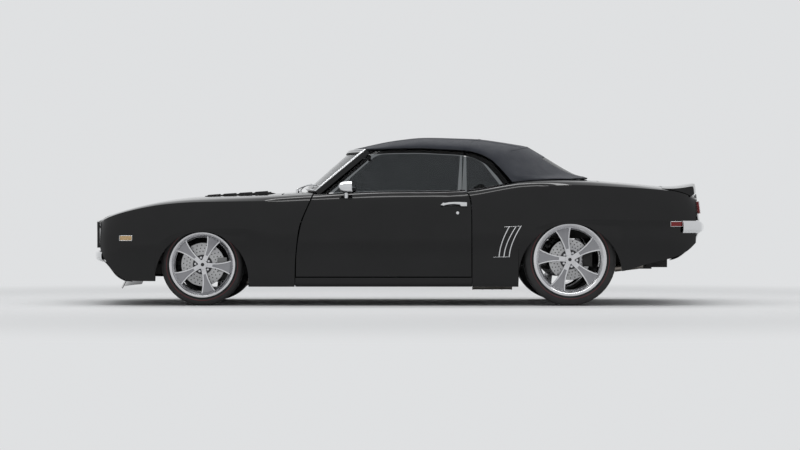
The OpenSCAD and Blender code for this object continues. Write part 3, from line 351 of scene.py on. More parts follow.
def makeFinish(name, look):
    finish = bpy.data.materials.new(name)
    finish.use_nodes = True
    tree = finish.node_tree
    shader = tree.nodes["Principled BSDF"]
    coords = tree.nodes.new("ShaderNodeTexCoord")
    mix = tree.nodes.new("ShaderNodeMix")
    mix.data_type = "RGBA"
    mix.inputs["A"].default_value = (*look["colour"], 1)
    mix.inputs["B"].default_value = (*look["shade"], 1)
    spread = addNode(tree, "ShaderNodeMapRange", **{"From Min": 0.3, "From Max": 0.7})
    tree.links.new(noiseOn(tree, coords, look.get("cloud", 6.0), 4.0), spread.inputs["Value"])
    tree.links.new(spread.outputs["Result"], mix.inputs["Factor"])
    colour = mix.outputs["Result"]
    # painted shade: near-black spots where the disc's drill holes are
    if "holes" in look:
        holeShade = tree.nodes.new("ShaderNodeMix")
        holeShade.data_type = "RGBA"
        holeShade.inputs["B"].default_value = (0.006, 0.006, 0.006, 1)
        tree.links.new(holeShadeOn(tree, coords, look["holes"]), holeShade.inputs["Factor"])
        tree.links.new(colour, holeShade.inputs["A"])
        colour = holeShade.outputs["Result"]
    tree.links.new(colour, shader.inputs["Base Color"])
    gloss = addNode(tree, "ShaderNodeMapRange", **{
        "From Min": 0.3, "From Max": 0.7, "To Min": look["rough"][0], "To Max": look["rough"][1]})
    tree.links.new(noiseOn(tree, coords, look.get("wear", 14.0), 5.0), gloss.inputs["Value"])
    tree.links.new(gloss.outputs["Result"], shader.inputs["Roughness"])
    kind, scale, strength, depth = look["bump"]
    if kind == "weave":
        height = weaveOn(tree, coords, scale)
    elif kind == "grain":
        height = grainOn(tree, coords, scale)
    else:
        height = noiseOn(tree, coords, scale, 2.0)
    bump = addNode(tree, "ShaderNodeBump", Strength=strength, Distance=depth)
    tree.links.new(height, bump.inputs["Height"])
    tree.links.new(bump.outputs["Normal"], shader.inputs["Normal"])
    for socket, value in look.get("sockets", {}).items():
        shader.inputs[socket].default_value = value
    return finish


finishLooks = {
    "bodyPaint": {
        "colour": (0.0025, 0.0025, 0.0028), "shade": (0.004, 0.004, 0.0044), "rough": (0.3, 0.36),
        "bump": ("noise", 900, 0.006, 0.0005),
        "sockets": {"Specular IOR Level": 0.0, "Coat Weight": 1.0, "Coat Roughness": 0.06, "Coat IOR": 1.4}},
    "chromePlate": {
        "colour": (0.74, 0.74, 0.75), "shade": (0.66, 0.67, 0.68), "rough": (0.05, 0.11),
        "bump": ("noise", 120, 0.01, 0.0005), "sockets": {"Metallic": 1.0}},
    "polishedAlloy": {
        "colour": (0.72, 0.72, 0.73), "shade": (0.6, 0.6, 0.62), "rough": (0.1, 0.2),
        "bump": ("noise", 400, 0.02, 0.0005), "sockets": {"Metallic": 1.0}},
    "satinSpoke": {
        "colour": (0.33, 0.33, 0.345), "shade": (0.27, 0.27, 0.285), "rough": (0.34, 0.44),
        "bump": ("noise", 700, 0.06, 0.0005), "sockets": {"Metallic": 0.85}},
    # painted shade: a near-black colour for the hub floor and centre hole, so they read as sunk
    "hubPaintedShade": {
        "colour": (0.05, 0.05, 0.053), "shade": (0.035, 0.035, 0.038), "rough": (0.4, 0.5),
        "bump": ("noise", 600, 0.08, 0.0005), "sockets": {"Metallic": 0.7}},
    # the disc finishes paint near-black spots for their drill holes, as painted shade
    "discFront": {
        "colour": (0.5, 0.5, 0.5), "shade": (0.38, 0.38, 0.39), "rough": (0.24, 0.36),
        "holes": {"centre": (-1.476, 0, 0.306), "from": 0.088, "pitch": 0.023, "count": 26, "size": 0.0042},
        "bump": ("noise", 300, 0.08, 0.0006), "sockets": {"Metallic": 1.0}},
    "discRear": {
        "colour": (0.5, 0.5, 0.5), "shade": (0.38, 0.38, 0.39), "rough": (0.24, 0.36),
        "holes": {"centre": (1.267, 0, 0.344), "from": 0.084, "pitch": 0.022, "count": 26, "size": 0.0042},
        "bump": ("noise", 300, 0.08, 0.0006), "sockets": {"Metallic": 1.0}},
    "tyreRubber": {
        "colour": (0.012, 0.012, 0.0125), "shade": (0.02, 0.02, 0.02), "rough": (0.55, 0.75),
        "bump": ("noise", 500, 0.15, 0.0008)},
    "redRubber": {
        "colour": (0.12, 0.008, 0.012), "shade": (0.09, 0.007, 0.01), "rough": (0.5, 0.65),
        "bump": ("noise", 500, 0.12, 0.0006)},
    "canvasCloth": {
        "colour": (0.014, 0.0165, 0.024), "shade": (0.02, 0.023, 0.031), "rough": (0.8, 0.94), "cloud": 3.0,
        "bump": ("weave", 0.0045, 0.35, 0.0012), "sockets": {"Sheen Weight": 0.12, "Sheen Roughness": 0.5}},
    "seatVinyl": {
        "colour": (0.012, 0.012, 0.013), "shade": (0.02, 0.02, 0.021), "rough": (0.38, 0.52),
        "bump": ("grain", 380, 0.25, 0.001)},
    "blackPlastic": {
        "colour": (0.012, 0.012, 0.012), "shade": (0.018, 0.018, 0.018), "rough": (0.42, 0.58),
        "bump": ("grain", 600, 0.15, 0.0006)},
    "sealRubber": {
        "colour": (0.009, 0.009, 0.009), "shade": (0.015, 0.015, 0.015), "rough": (0.6, 0.72),
        "bump": ("noise", 700, 0.12, 0.0005)},
    "underbodyBlack": {
        "colour": (0.013, 0.013, 0.013), "shade": (0.022, 0.021, 0.02), "rough": (0.6, 0.8),
        "bump": ("noise", 160, 0.3, 0.002)},
    "castMetal": {
        "colour": (0.3, 0.3, 0.3), "shade": (0.22, 0.22, 0.22), "rough": (0.45, 0.62),
        "bump": ("noise", 260, 0.3, 0.0012), "sockets": {"Metallic": 0.9}},
    "exhaustSteel": {
        "colour": (0.42, 0.4, 0.37), "shade": (0.3, 0.27, 0.24), "rough": (0.28, 0.42),
        "bump": ("noise", 200, 0.1, 0.0008), "sockets": {"Metallic": 1.0}},
    "windowGlass": {
        "colour": (0.2, 0.21, 0.215), "shade": (0.17, 0.18, 0.185), "rough": (0.0, 0.015),
        "bump": ("noise", 3, 0.004, 0.001), "sockets": {"Transmission Weight": 1.0, "IOR": 1.22}},
    "rearWindow": {
        "colour": (0.05, 0.055, 0.06), "shade": (0.04, 0.045, 0.05), "rough": (0.16, 0.24),
        "bump": ("noise", 8, 0.01, 0.001), "sockets": {"Transmission Weight": 1.0, "IOR": 1.08}},
    "mirrorGlass": {
        "colour": (0.8, 0.82, 0.84), "shade": (0.76, 0.78, 0.8), "rough": (0.01, 0.03),
        "bump": ("noise", 5, 0.003, 0.001), "sockets": {"Metallic": 1.0}},
    "clearLens": {
        "colour": (0.9, 0.9, 0.9), "shade": (0.84, 0.85, 0.86), "rough": (0.02, 0.05),
        "bump": ("grain", 90, 0.2, 0.001), "sockets": {"Transmission Weight": 0.9, "IOR": 1.45}},
    "redLens": {
        "colour": (0.32, 0.008, 0.01), "shade": (0.25, 0.006, 0.008), "rough": (0.06, 0.12),
        "bump": ("grain", 160, 0.25, 0.0012), "sockets": {"Transmission Weight": 0.35, "IOR": 1.45}},
    "amberLens": {
        "colour": (0.75, 0.55, 0.3), "shade": (0.65, 0.42, 0.18), "rough": (0.06, 0.12),
        "bump": ("grain", 160, 0.25, 0.0012), "sockets": {"Transmission Weight": 0.3, "IOR": 1.45}},
    "dialFace": {
        "colour": (0.02, 0.02, 0.021), "shade": (0.03, 0.03, 0.03), "rough": (0.3, 0.4),
        "bump": ("noise", 500, 0.05, 0.0004)},
}
finishes = {name: makeFinish(name, look) for name, look in finishLooks.items()}
print("finishes made:", len(finishes))


# body panels, smoothed from the solids
panelPieces = {
    "fenders": ("frontFenders", "bodyPaint", "body", "body_paint", 34),
    "quarters": ("rearQuarters", "bodyPaint", "body", "body_paint", 34),
    "valances": ("valancePanels", "bodyPaint", "body", "body_paint", 34),
    "tail_panel": ("tailPanel", "bodyPaint", "body", "body_paint", 34),
    "deck_filler": ("deckFiller", "bodyPaint", "body", "body_paint", 34),
    "spoiler_ends": ("spoilerEnds", "bodyPaint", "body", "body_paint", 50),
    "spoiler": ("spoilerBlade", "bodyPaint", "trunk_lid", "body_paint", 50),
    "hood": ("hoodPanel", "bodyPaint", "hood", "body_paint", 34),
    "trunk_lid": ("trunkLid", "bodyPaint", "trunk_lid", "body_paint", 34),
    "door_left": ("doorLeft", "bodyPaint", "door_left", "body_paint", 34),
    "door_right": ("doorRight", "bodyPaint", "door_right", "body_paint", 34),
    "bumpers": ("bumperBlades", "chromePlate", "body", "chrome", 50),
    "windscreen_frame": ("screenFrame", "bodyPaint", "body", "chrome", 60),
    "gill_vents": ("gillVents", "chromePlate", "body", "chrome", 50),
    "rear_lamps": ("rearLamps", "redLens", "body", "red_lens", 50),
    "door_glass_left": ("doorGlassLeft", "windowGlass", "door_left", "glass", 50),
    "door_glass_right": ("doorGlassRight", "windowGlass", "door_right", "glass", 50),
    "fixed_glass": ("fixedGlass", "windowGlass", "body", "glass", 50),
}
pieces = {}
for nodeName, (pieceName, finishName, body, slot, sharp) in panelPieces.items():
    panel = copyNode(nodeName, pieceName)
    smoothPanel(panel, sharp)
    pieces[nodeName] = newPiece(panel, pieceName, finishes[finishName], body, [nodeName])
paintFaces(pieces["door_left"], finishes["seatVinyl"], lambda p: p.normal.y > 0.6)
paintFaces(pieces["door_right"], finishes["seatVinyl"], lambda p: p.normal.y < -0.6)
paintFaces(pieces["fixed_glass"], finishes["rearWindow"], lambda p: p.center.x > 0.95)
print("panels smoothed")

# solid pieces with eased edges
easedPieces = {
    "nose_panel": ("nosePanel", "bodyPaint", "body", "body_paint", 0.004),
    "cowl": ("cowlPanel", "bodyPaint", "body", "body_paint", 0.002),
    "sills": ("sillPanels", "bodyPaint", "body", "body_paint", 0.006),
    "hood_vents": ("hoodVents", "bodyPaint", "hood", "body_paint", 0.002),
    "grille": ("grilleBars", "blackPlastic", "body", "black_plastic", 0.001),
    "dashboard": ("dashboardPad", "blackPlastic", "body", "black_plastic", 0.012),
    "steering_wheel": ("steeringWheel", "blackPlastic", "steering_wheel", "black_plastic", 0.003),
    "front_lamps": ("frontLamps", "chromePlate", "body", "clear_lens", 0.004),
    "door_fittings_left": ("doorFittingsLeft", "chromePlate", "door_left", "chrome", 0.003),
    "door_fittings_right": ("doorFittingsRight", "chromePlate", "door_right", "chrome", 0.003),
}
for nodeName, (pieceName, finishName, body, slot, width) in easedPieces.items():
    solid = copyNode(nodeName, pieceName)
    bevelSolid(solid, width)
    pieces[nodeName] = newPiece(solid, pieceName, finishes[finishName], body, [nodeName])
paintFaces(pieces["front_lamps"], finishes["amberLens"], lambda p: abs(p.center.y) > 0.75)
print("solids eased")

# wheels: polished edges and lip, satin spoke faces, painted shade on the hub floor, discs with their drill
# holes painted near-black as painted shade
wheelShape = {
    "inset": 0.0085, "reach": (0.285, 0.93), "edge": 0.002,
    "half": [(0.08, 0.07), (0.3, 0.07), (0.45, 0.088), (0.6, 0.122), (0.75, 0.172), (0.92, 0.25)],
    "front": {"place": (-1.476, 0.306), "rim": 0.247, "turn": 66, "disc": "discFront",
              "hubFace": 0.7895, "lip": 0.8275},
    "rear": {"place": (1.267, 0.344), "rim": 0.273, "turn": 31, "disc": "discRear",
             "hubFace": 0.8325, "lip": 0.8705},
    "hub": {"radius": 0.0745, "depth": 0.0012, "hole": 0.0135, "holeArea": 0.0008},
    "lipSteps": 128, "discEdge": 0.0015,
}


def onSpokeFace(polygon, size, side):
    if polygon.normal.y * side < 0.8:
        return False
    x, z = polygon.center.x - size["place"][0], polygon.center.z - size["place"][1]
    for k in range(5):
        turn = math.radians(size["turn"] + 72 * k)
        along = (x * math.cos(turn) + z * math.sin(turn)) / size["rim"]
        across = abs(z * math.cos(turn) - x * math.sin(turn))
        low, high = wheelShape["reach"]
        reach = blend(wheelShape["half"], along) * size["rim"] - wheelShape["inset"]
        if low < along < high and across < reach:
            return True
    return False


def lipProfile(r):
    # (radius, height) pairs: the outer bead, the dish and back under the surface
    bead = [(r - 0.0002, -0.002), (r + 0.0002, 0.005), (r - 0.0012, 0.0086), (r - 0.0048, 0.0104),
            (r - 0.009, 0.0102)]
    fall = 0.03 / (0.16 * r - 0.013)  # the dish's slope
    dish = [(at, 0.0088 - fall * (r - 0.013 - at)) for at in (r - 0.0128, r * 0.91, r * 0.87, r * 0.842)]
    dish += [(r * 0.827, -0.0268), (r * 0.8195, -0.0325)]
    under = [(r * 0.8215, -0.0345), (r * 0.845, -0.0245), (r * 0.91, -0.0065), (r - 0.013, 0.005),
             (r - 0.003, -0.002)]
    return bead + dish + under


# the faces that take painted shade: the bottom of the centre hole and the hub floor between the spokes
def onPaintedHubShade(polygon, size):
    hub = wheelShape["hub"]
    span = math.hypot(polygon.center.x - size["place"][0], polygon.center.z - size["place"][1])
    inHole = span < hub["hole"] and polygon.area < hub["holeArea"]
    onFloor = span < hub["radius"] and abs(abs(polygon.center.y) - size["hubFace"]) < hub["depth"]
    return inHole or onFloor


for end in ("front", "rear"):
    size = wheelShape[end]
    for sideName, side in (("left", -1), ("right", 1)):
        body = "wheel_" + end + "_" + sideName
        tag = end.title() + sideName.title()
        wheel = copyNode(body, "wheel" + tag)
        editAll(wheel)
        bpy.ops.mesh.separate(type="LOOSE")
        leaveEdit()
        loose = sorted(bpy.context.selected_objects, key=lambda o: o.dimensions.x)
        disc, wheel = loose[0], loose[-1]
        bevelSolid(wheel, wheelShape["edge"])
        wheel.data.materials.append(finishes["polishedAlloy"])
        paintFaces(wheel, finishes["satinSpoke"], lambda p: onSpokeFace(p, size, side))
        # painted shade on the hub floor and in the centre hole
        paintFaces(wheel, finishes["hubPaintedShade"], lambda p: onPaintedHubShade(p, size))
        newPiece(wheel, "wheel" + tag, finishes["polishedAlloy"], body, [body])
        x, z = size["place"]
        lipCentre = (x, side * size["lip"], z)
        lip = lathe("lip", lipCentre, (0, side, 0), lipProfile(size["rim"]), wheelShape["lipSteps"])
        smoothShade(lip, 60)
        newPiece(lip, "lip" + tag, finishes["polishedAlloy"], body)
        bevelSolid(disc, wheelShape["discEdge"])
        newPiece(disc, "disc" + tag, finishes[size["disc"]], body)
print("wheels finished")

# fabric top, one stretched sheet with a firm break at the rear bow
canvasTop = {
    "flat": (1.6, 2.05), "area": 2.3, "sharp": 60, "levels": 2, "join": 40,
    "seam": {"y": 0.44, "radius": 0.0022, "proud": 0.0004, "from": -0.28, "step": 0.05, "half": 0.58},
    "bowReach": 0.014,
    "rearBow": {"middle": 0.987, "edge": 0.693, "half": 0.684, "power": 4, "crease": 0.8},
    "midBow": {"middle": 0.627, "edge": 0.504, "half": 0.652, "power": 2, "crease": 0.35},
}


def bowX(bow, y):
    return bow["middle"] + (bow["edge"] - bow["middle"]) * min(1.0, abs(y) / bow["half"]) ** bow["power"]


def onBow(bow):
    return lambda place: abs(place.x - bowX(bow, place.y)) < canvasTop["bowReach"]


canvas = copyNode("soft_top", "canvasTop")
smoothPanel(canvas, canvasTop["sharp"], canvasTop["levels"], canvasTop["join"], [
    (onBow(canvasTop[bow]), canvasTop[bow]["crease"]) for bow in ("rearBow", "midBow")])
newPiece(canvas, "canvasTop", finishes["canvasCloth"], "body", ["soft_top"])
canvasSurface = surfaceOf(canvas)
seamLine = canvasTop["seam"]


def onCanvas(x, y):
    return placeOn(canvasSurface, (x, y, 2), (0, 0, -1), seamLine["proud"])


seams = []
for side in (-1, 1):
    places = [onCanvas(seamLine["from"] + seamLine["step"] * k, side * seamLine["y"]) for k in range(25)]
    seams.append(rodAlong("seam", places, seamLine["radius"]))
for bow in ("rearBow", "midBow"):
    widths = [seamLine["half"] * (k / 20 - 1) for k in range(41)]
    places = [onCanvas(bowX(canvasTop[bow], y), y) for y in widths]
    seams.append(rodAlong("seam", places, seamLine["radius"]))
canvasSeams = joinAll(seams, "canvasSeams")
newPiece(canvasSeams, "canvasSeams", finishes["canvasCloth"], "body")
print("fabric top made")

# seats: cushions blown up a little by cloth simulation
seatPads = {
    "seatCushion": {"low": (-0.056, -0.62, 0.25), "high": (0.444, -0.16, 0.4), "twin": True, "voxel": 0.008},
    "seatBack": {"low": (0, -0.62, 0), "high": (0.12, -0.16, 0.47), "twin": True, "voxel": 0.008,
                 "place": (0.384, 0, 0.33), "lean": 17},
    "headPad": {"low": (0.015, -0.51, 0.48), "high": (0.105, -0.27, 0.64), "twin": True, "voxel": 0.007,
                "place": (0.384, 0, 0.33), "lean": 17},
    "rearCushion": {"low": (0.643, -0.56, 0.375), "high": (0.925, 0.56, 0.51), "twin": False, "voxel": 0.01},
    "rearBack": {"low": (0, -0.56, 0), "high": (0.11, 0.56, 0.32), "twin": False, "voxel": 0.01,
                 "place": (0.909, 0, 0.544), "lean": 20},
}
padLook = {
    "round": 0.045, "shrink": 0.01, "cap": 0.014, "pressure": 4.0, "frames": 20, "fill": 0.7,
    "heldUnder": 0.03,  # points this close to the pad's underside stay put
}


def leanBack(pad, place):
    # a place in the pad's own frame, leaned back and moved to the seat
    turn = math.radians(pad.get("lean", 0))
    base = Vector(pad.get("place", (0, 0, 0)))
    x, y, z = place
    across, along = math.cos(turn), math.sin(turn)
    return base + Vector((x * across + z * along, y, z * across - x * along))


def blowUp(obj, low):
    rest = [v.co.copy() for v in obj.data.vertices]
    held = obj.vertex_groups.new(name="held")
    held.add([v.index for v in obj.data.vertices if v.co.z < low], 1.0, "REPLACE")
    cloth = obj.modifiers.new("cloth", "CLOTH")
    cloth.settings.use_pressure = True
    cloth.settings.uniform_pressure_force = padLook["pressure"]
    cloth.settings.effector_weights.gravity = 0
    cloth.settings.vertex_group_mass = "held"
    cloth.point_cache.frame_start = 1
    cloth.point_cache.frame_end = padLook["frames"]
    for step in range(1, padLook["frames"] + 1):
        bpy.context.scene.frame_set(step)
    makeActive(obj)
    bpy.ops.object.modifier_apply(modifier=cloth.name)
    for vertex, start in zip(obj.data.vertices, rest):
        move = vertex.co - start
        if move.length > padLook["cap"]:
            vertex.co = start + move.normalized() * padLook["cap"]
    bpy.context.scene.frame_set(1)
    obj.vertex_groups.clear()


for name, pad in seatPads.items():
    cushion = roundBlock(name, pad["low"], pad["high"], padLook["round"], 4)
    editAll(cushion)
    bpy.ops.transform.shrink_fatten(value=-padLook["shrink"])
    leaveEdit()
    for vertex in cushion.data.vertices:
        vertex.co = leanBack(pad, vertex.co)
    applyModifier(cushion, "REMESH", {"mode": "VOXEL", "voxel_size": pad["voxel"]})
    blowUp(cushion, min(v.co.z for v in cushion.data.vertices) + padLook["heldUnder"])
    applyModifier(cushion, "SMOOTH", {"factor": 0.5, "iterations": 3})
    smoothShade(cushion, 60)
    sides = [(name + "Left", cushion)] if pad["twin"] else [(name, cushion)]
    if pad["twin"]:
        sides.append((name + "Right", mirrorCopy(cushion, name + "Right")))
    for pieceName, obj in sides:
        newPiece(obj, pieceName, finishes["seatVinyl"], "body", ["seats"])
seatMounts = {
    "frontBase": ((-0.026, -0.59, 0.197), (0.364, -0.19, 0.262)),
    "baseRound": 0.008,
    "postX": 0.06, "postY": (-0.44, -0.34), "postHeights": (0.44, 0.47, 0.5), "postRadius": 0.0075,
}
frontBase = roundBlock("seatBaseLeft", *seatMounts["frontBase"], seatMounts["baseRound"])
for base, name in ((mirrorCopy(frontBase, "seatBaseRight"), "seatBaseRight"), (frontBase, "seatBaseLeft")):
    newPiece(base, name, finishes["blackPlastic"], "body")
posts = []
for y in [side * y for side in (-1, 1) for y in seatMounts["postY"]]:
    line = [leanBack(seatPads["headPad"], (seatMounts["postX"], y, z)) for z in seatMounts["postHeights"]]
    posts.append(rodAlong("post", line, seatMounts["postRadius"]))
newPiece(joinAll(posts, "headPadPosts"), "headPadPosts", finishes["chromePlate"], "body")
print("seats padded")

# tyres: a spun section with tread grooves and a red line on the sidewall
tyreSizes = {
    "front": {"place": (-1.476, -0.732, 0.306), "radius": 0.306, "width": 0.215, "rim": 0.247},
    "rear": {"place": (1.267, -0.755, 0.344), "radius": 0.344, "width": 0.255, "rim": 0.273},
}
treadLook = {
    "steps": 180, "depth": 0.006, "slope": 0.0015, "grooves": ((0.78, 0.67), (0.4, 0.29)), "every": 4,
    "shoulder": 0.034, "sipe": 0.005, "sipeReach": 0.012, "redLine": (0.0165, 0.0215),
}


def flatHalf(size):
    return size["width"] / 2 - treadLook["shoulder"]  # half the tread's flat width


def tyreProfile(size):
    r, h, rim = size["radius"], size["width"] / 2, size["rim"]
    half = [
        (rim - 0.016, h - 0.013), (rim + 0.003, h - 0.013), (rim + 0.008, h - 0.006),
        (rim + 0.014, h - 0.002), (rim + 0.017, h), (rim + 0.021, h), (rim + 0.024, h - 0.001),
        ((r + rim) / 2 + 0.002, h - 0.001),
        (r - 0.014, h - 0.006), (r - 0.006, h - 0.014), (r - 0.002, h - 0.024), (r - 0.0005, flatHalf(size))]
    depth, slope = r - treadLook["depth"], treadLook["slope"]
    for outer, inner in treadLook["grooves"]:
        a, b = outer * flatHalf(size), inner * flatHalf(size)
        half += [(r, a), (depth, a - slope), (depth, b + slope), (r, b)]
    return half + [(a, -b) for a, b in reversed(half)]


for end, size in tyreSizes.items():
    centre = Vector(size["place"])
    tyre = lathe("tyre", size["place"], (0, -1, 0), tyreProfile(size), treadLook["steps"])
    shoulder = flatHalf(size)

    def onSipe(polygon):
        span = polygon.center - centre
        column = int((math.atan2(span.z, span.x) + math.pi) / (2 * math.pi) * treadLook["steps"])
        inBand = treadLook["grooves"][0][0] * shoulder < abs(span.y) < shoulder + treadLook["sipeReach"]
        return inBand and column % treadLook["every"] == 0

    def onRedLine(polygon):
        span = polygon.center - centre
        low, high = treadLook["redLine"]
        return low < math.hypot(span.x, span.z) - size["rim"] < high and span.y < 0

    selectFaces(tyre, onSipe)
    bpy.ops.mesh.extrude_region_shrink_fatten(TRANSFORM_OT_shrink_fatten={"value": -treadLook["sipe"]})
    leaveEdit()
    smoothShade(tyre, 35)
    tyre.data.materials.append(finishes["tyreRubber"])
    paintFaces(tyre, finishes["redRubber"], onRedLine)
    twin = mirrorCopy(tyre, "tyre" + end.title() + "Right")
    for sideName, obj in (("left", tyre), ("right", twin)):
        node = "tyre_" + end + "_" + sideName
        newPiece(obj, "tyre" + end.title() + sideName.title(), finishes["tyreRubber"],
                 "wheel_" + end + "_" + sideName, [node])
print("tyres spun")

# bright lines on the sides: gill ends and marker lamp frames
sideTrim = {
    "gillLines": [((0.776, 0.588), (0.905, 0.594)), ((0.692, 0.363), (0.808, 0.365))], "gillRadius": 0.0015,
    "frontMarker": (-2.092, -1.997, 0.486, 0.522), "rearMarker": (2.015, 2.105, 0.592, 0.627),
    "frameRadius": 0.0028, "frameProud": 0.004,
}
fenderSide = surfaceOf(cadNodes["fenders"])
quarterSide = surfaceOf(cadNodes["quarters"])


def onSide(surface, x, z, proud=0.001):
    return placeOn(surface, (x, -2, z), (0, 1, 0), proud)


def frameLine(x0, x1, z0, z1):
    across = [x0 + (x1 - x0) * k / 6 for k in range(7)]
    low, high, middle = [(x, z0) for x in across], [(x, z1) for x in reversed(across)], (z0 + z1) / 2
    return low + [(x1, middle)] + high + [(x0, middle)]


trimBars = []
for (x0, z0), (x1, z1) in sideTrim["gillLines"]:
    line = [onSide(quarterSide, x0 + (x1 - x0) * k / 8, z0 + (z1 - z0) * k / 8) for k in range(9)]
    trimBars.append(rodAlong("trim", line, sideTrim["gillRadius"]))
for surface, marker in ((fenderSide, "frontMarker"), (quarterSide, "rearMarker")):
    line = [onSide(surface, x, z, sideTrim["frameProud"]) for x, z in frameLine(*sideTrim[marker])]
    trimBars.append(rodAlong("trim", line, sideTrim["frameRadius"], True))
trimLeft = joinAll(trimBars, "sideTrimLeft")
newPiece(mirrorCopy(trimLeft, "sideTrimRight"), "sideTrimRight", finishes["chromePlate"], "body")
newPiece(trimLeft, "sideTrimLeft", finishes["chromePlate"], "body")

# mirror glass in each door mirror
mirrorShape = {
    "above": 0.85, "behind": -0.366, "sunk": 0.0035, "steps": 48,
    "profile": [(0, 0.0012), (0.022, 0.0008), (0.0415, 0), (0.0415, -0.0008), (0, -0.0008)],
}
for side in ("left", "right"):
    corners = [v.co for v in cadNodes["door_fittings_" + side].data.vertices]
    rim = [c for c in corners if c.z > mirrorShape["above"] and c.x > mirrorShape["behind"]]
    centre = [max(c.x for c in rim) - mirrorShape["sunk"]]
    centre += [(min(c[axis] for c in rim) + max(c[axis] for c in rim)) / 2 for axis in (1, 2)]
    glass = lathe("mirror", centre, (1, 0, 0), mirrorShape["profile"], mirrorShape["steps"])
    newPiece(glass, "mirrorGlass" + side.title(), finishes["mirrorGlass"], "door_" + side)

# headlamps: a domed lens in a bright ring
headLamp = {"place": (-2.2345, -0.545, 0.522), "radius": 0.0585, "steps": 48}
lampR = headLamp["radius"]
lens = lathe("lens", headLamp["place"], (-1, 0, 0), [
    (0, 0.021), (0.02, 0.0195), (0.038, 0.015), (0.05, 0.008), (lampR - 0.004, 0.002),
    (lampR - 0.004, 0.0008), (0.03, 0.0008), (0, 0.0008)], headLamp["steps"])
ring = lathe("ring", headLamp["place"], (-1, 0, 0), [
    (lampR - 0.006, 0.0005), (lampR - 0.005, 0.006), (lampR - 0.001, 0.009), (lampR + 0.002, 0.006),
    (lampR + 0.002, 0.0005)], headLamp["steps"])
for obj, name, finishName, slot in (
        (lens, "headLampLens", "clearLens", "clear_lens"), (ring, "headLampRing", "chromePlate", "chrome")):
    newPiece(mirrorCopy(obj, name + "Right"), name + "Right", finishes[finishName], "body")
    newPiece(obj, name + "Left", finishes[finishName], "body")
print("lamps and mirrors made")

# windscreen seal, wipers and inside mirror
screenTrim = {
    "edge": (0.972, 0.068, 0.918), "sealRadius": 0.006, "sealProud": 0.004,
    "innerBead": (0.99, 0.05, 0.938, 0.0045), "outerBead": (1.036, -0.03, 0.988, 0.0065), "proud": 0.0145,
}
wiperShape = {
    "Left": (-0.3, -0.78), "Right": (0.42, -0.06),  # pivot and blade middle, as shares of the half width
    "footX": -0.79, "halfWidth": 0.69, "rise": 0.022, "arch": 0.012, "armRadius": 0.005,
    "tip": (0.09, 0.014), "blade": (0.3, 0.085, 0.02, 0.01), "bladeRadius": 0.004,
    "cap": [(0, 0.03), (0.008, 0.028), (0.013, 0.02), (0.014, 0), (0, 0)], "capSteps": 24,
}


def screenPlace(u, v, off):
    # a place on the curved screen: u across from -1 to 1, v up from 0 to 1, off outward
    y = u * (0.69 - 0.105 * v)
    x = -0.71 + 0.325 * v + (0.091 + 0.035 * v) * u * u - off * 0.68
    return Vector((x, y, 0.882 + 0.287 * v - (0.022 - 0.016 * v) * u * u + off * 0.73))


def screenLoop(edge, low, high, off):
    across = [edge * (k / 10 - 1) for k in range(21)]
    rising = [low + (high - low) * k / 8 for k in range(1, 8)]
    loop = [screenPlace(u, low, off) for u in across] + [screenPlace(edge, v, off) for v in rising]
    loop += [screenPlace(u, high, off) for u in reversed(across)]
    return loop + [screenPlace(-edge, v, off) for v in reversed(rising)]


sealLine = screenLoop(*screenTrim["edge"], screenTrim["sealProud"])
seal = rodAlong("screenSeal", sealLine, screenTrim["sealRadius"], True)
newPiece(seal, "screenSeal", finishes["sealRubber"], "body")
beads = []
for bead in ("innerBead", "outerBead"):
    edge, low, high, radius = screenTrim[bead]
    beads.append(rodAlong("bead", screenLoop(edge, low, high, screenTrim["proud"]), radius, True))
newPiece(joinAll(beads, "screenBeads"), "screenBeads", finishes["chromePlate"], "body")
cowlTop = surfaceOf(cadNodes["cowl"])
for label in ("Left", "Right"):
    pivotU, tipU = wiperShape[label]
    span, low, climb, off = wiperShape["blade"]
    foot = placeOn(cowlTop, (wiperShape["footX"], pivotU * wiperShape["halfWidth"], 2), (0, 0, -1), 0.0)
    knee = foot + Vector((0.0, 0.0, wiperShape["rise"]))
    tip = screenPlace(tipU, *wiperShape["tip"])
    arm = [foot, knee]
    for k in range(1, 6):
        arm.append(knee.lerp(tip, k / 5) + Vector((0, 0, wiperShape["arch"] * math.sin(math.pi * k / 5))))
    blade = [screenPlace(tipU + span * (k / 8 - 0.5), low + climb * k / 8, off) for k in range(9)]
    cap = lathe("cap", foot, (0, 0, 1), wiperShape["cap"], wiperShape["capSteps"])
    armBar = rodAlong("arm", arm, wiperShape["armRadius"])
    bladeBar = rodAlong("blade", blade, wiperShape["bladeRadius"])
    wiper = joinAll([cap, armBar, bladeBar], "wiper" + label)
    newPiece(wiper, "wiper" + label, finishes["chromePlate"], "body")
innerMirror = {
    "low": (-0.25, -0.11, 1.1), "high": (-0.226, 0.11, 1.148), "round": 0.009,
    "stem": ((-0.25, 0, 1.13), (-0.3, 0, 1.165), (-0.335, 0, 1.176)), "stemRadius": 0.006, "glassArea": 0.002,
}
shell = roundBlock("innerMirror", innerMirror["low"], innerMirror["high"], innerMirror["round"])
stem = rodAlong("stem", innerMirror["stem"], innerMirror["stemRadius"])
mirror = joinAll([shell, stem], "innerMirror")
mirror.data.materials.append(finishes["blackPlastic"])
paintFaces(mirror, finishes["mirrorGlass"], lambda p: p.normal.x > 0.9 and p.area > innerMirror["glassArea"])
newPiece(mirror, "innerMirror", finishes["blackPlastic"], "body")
print("windscreen trim made")

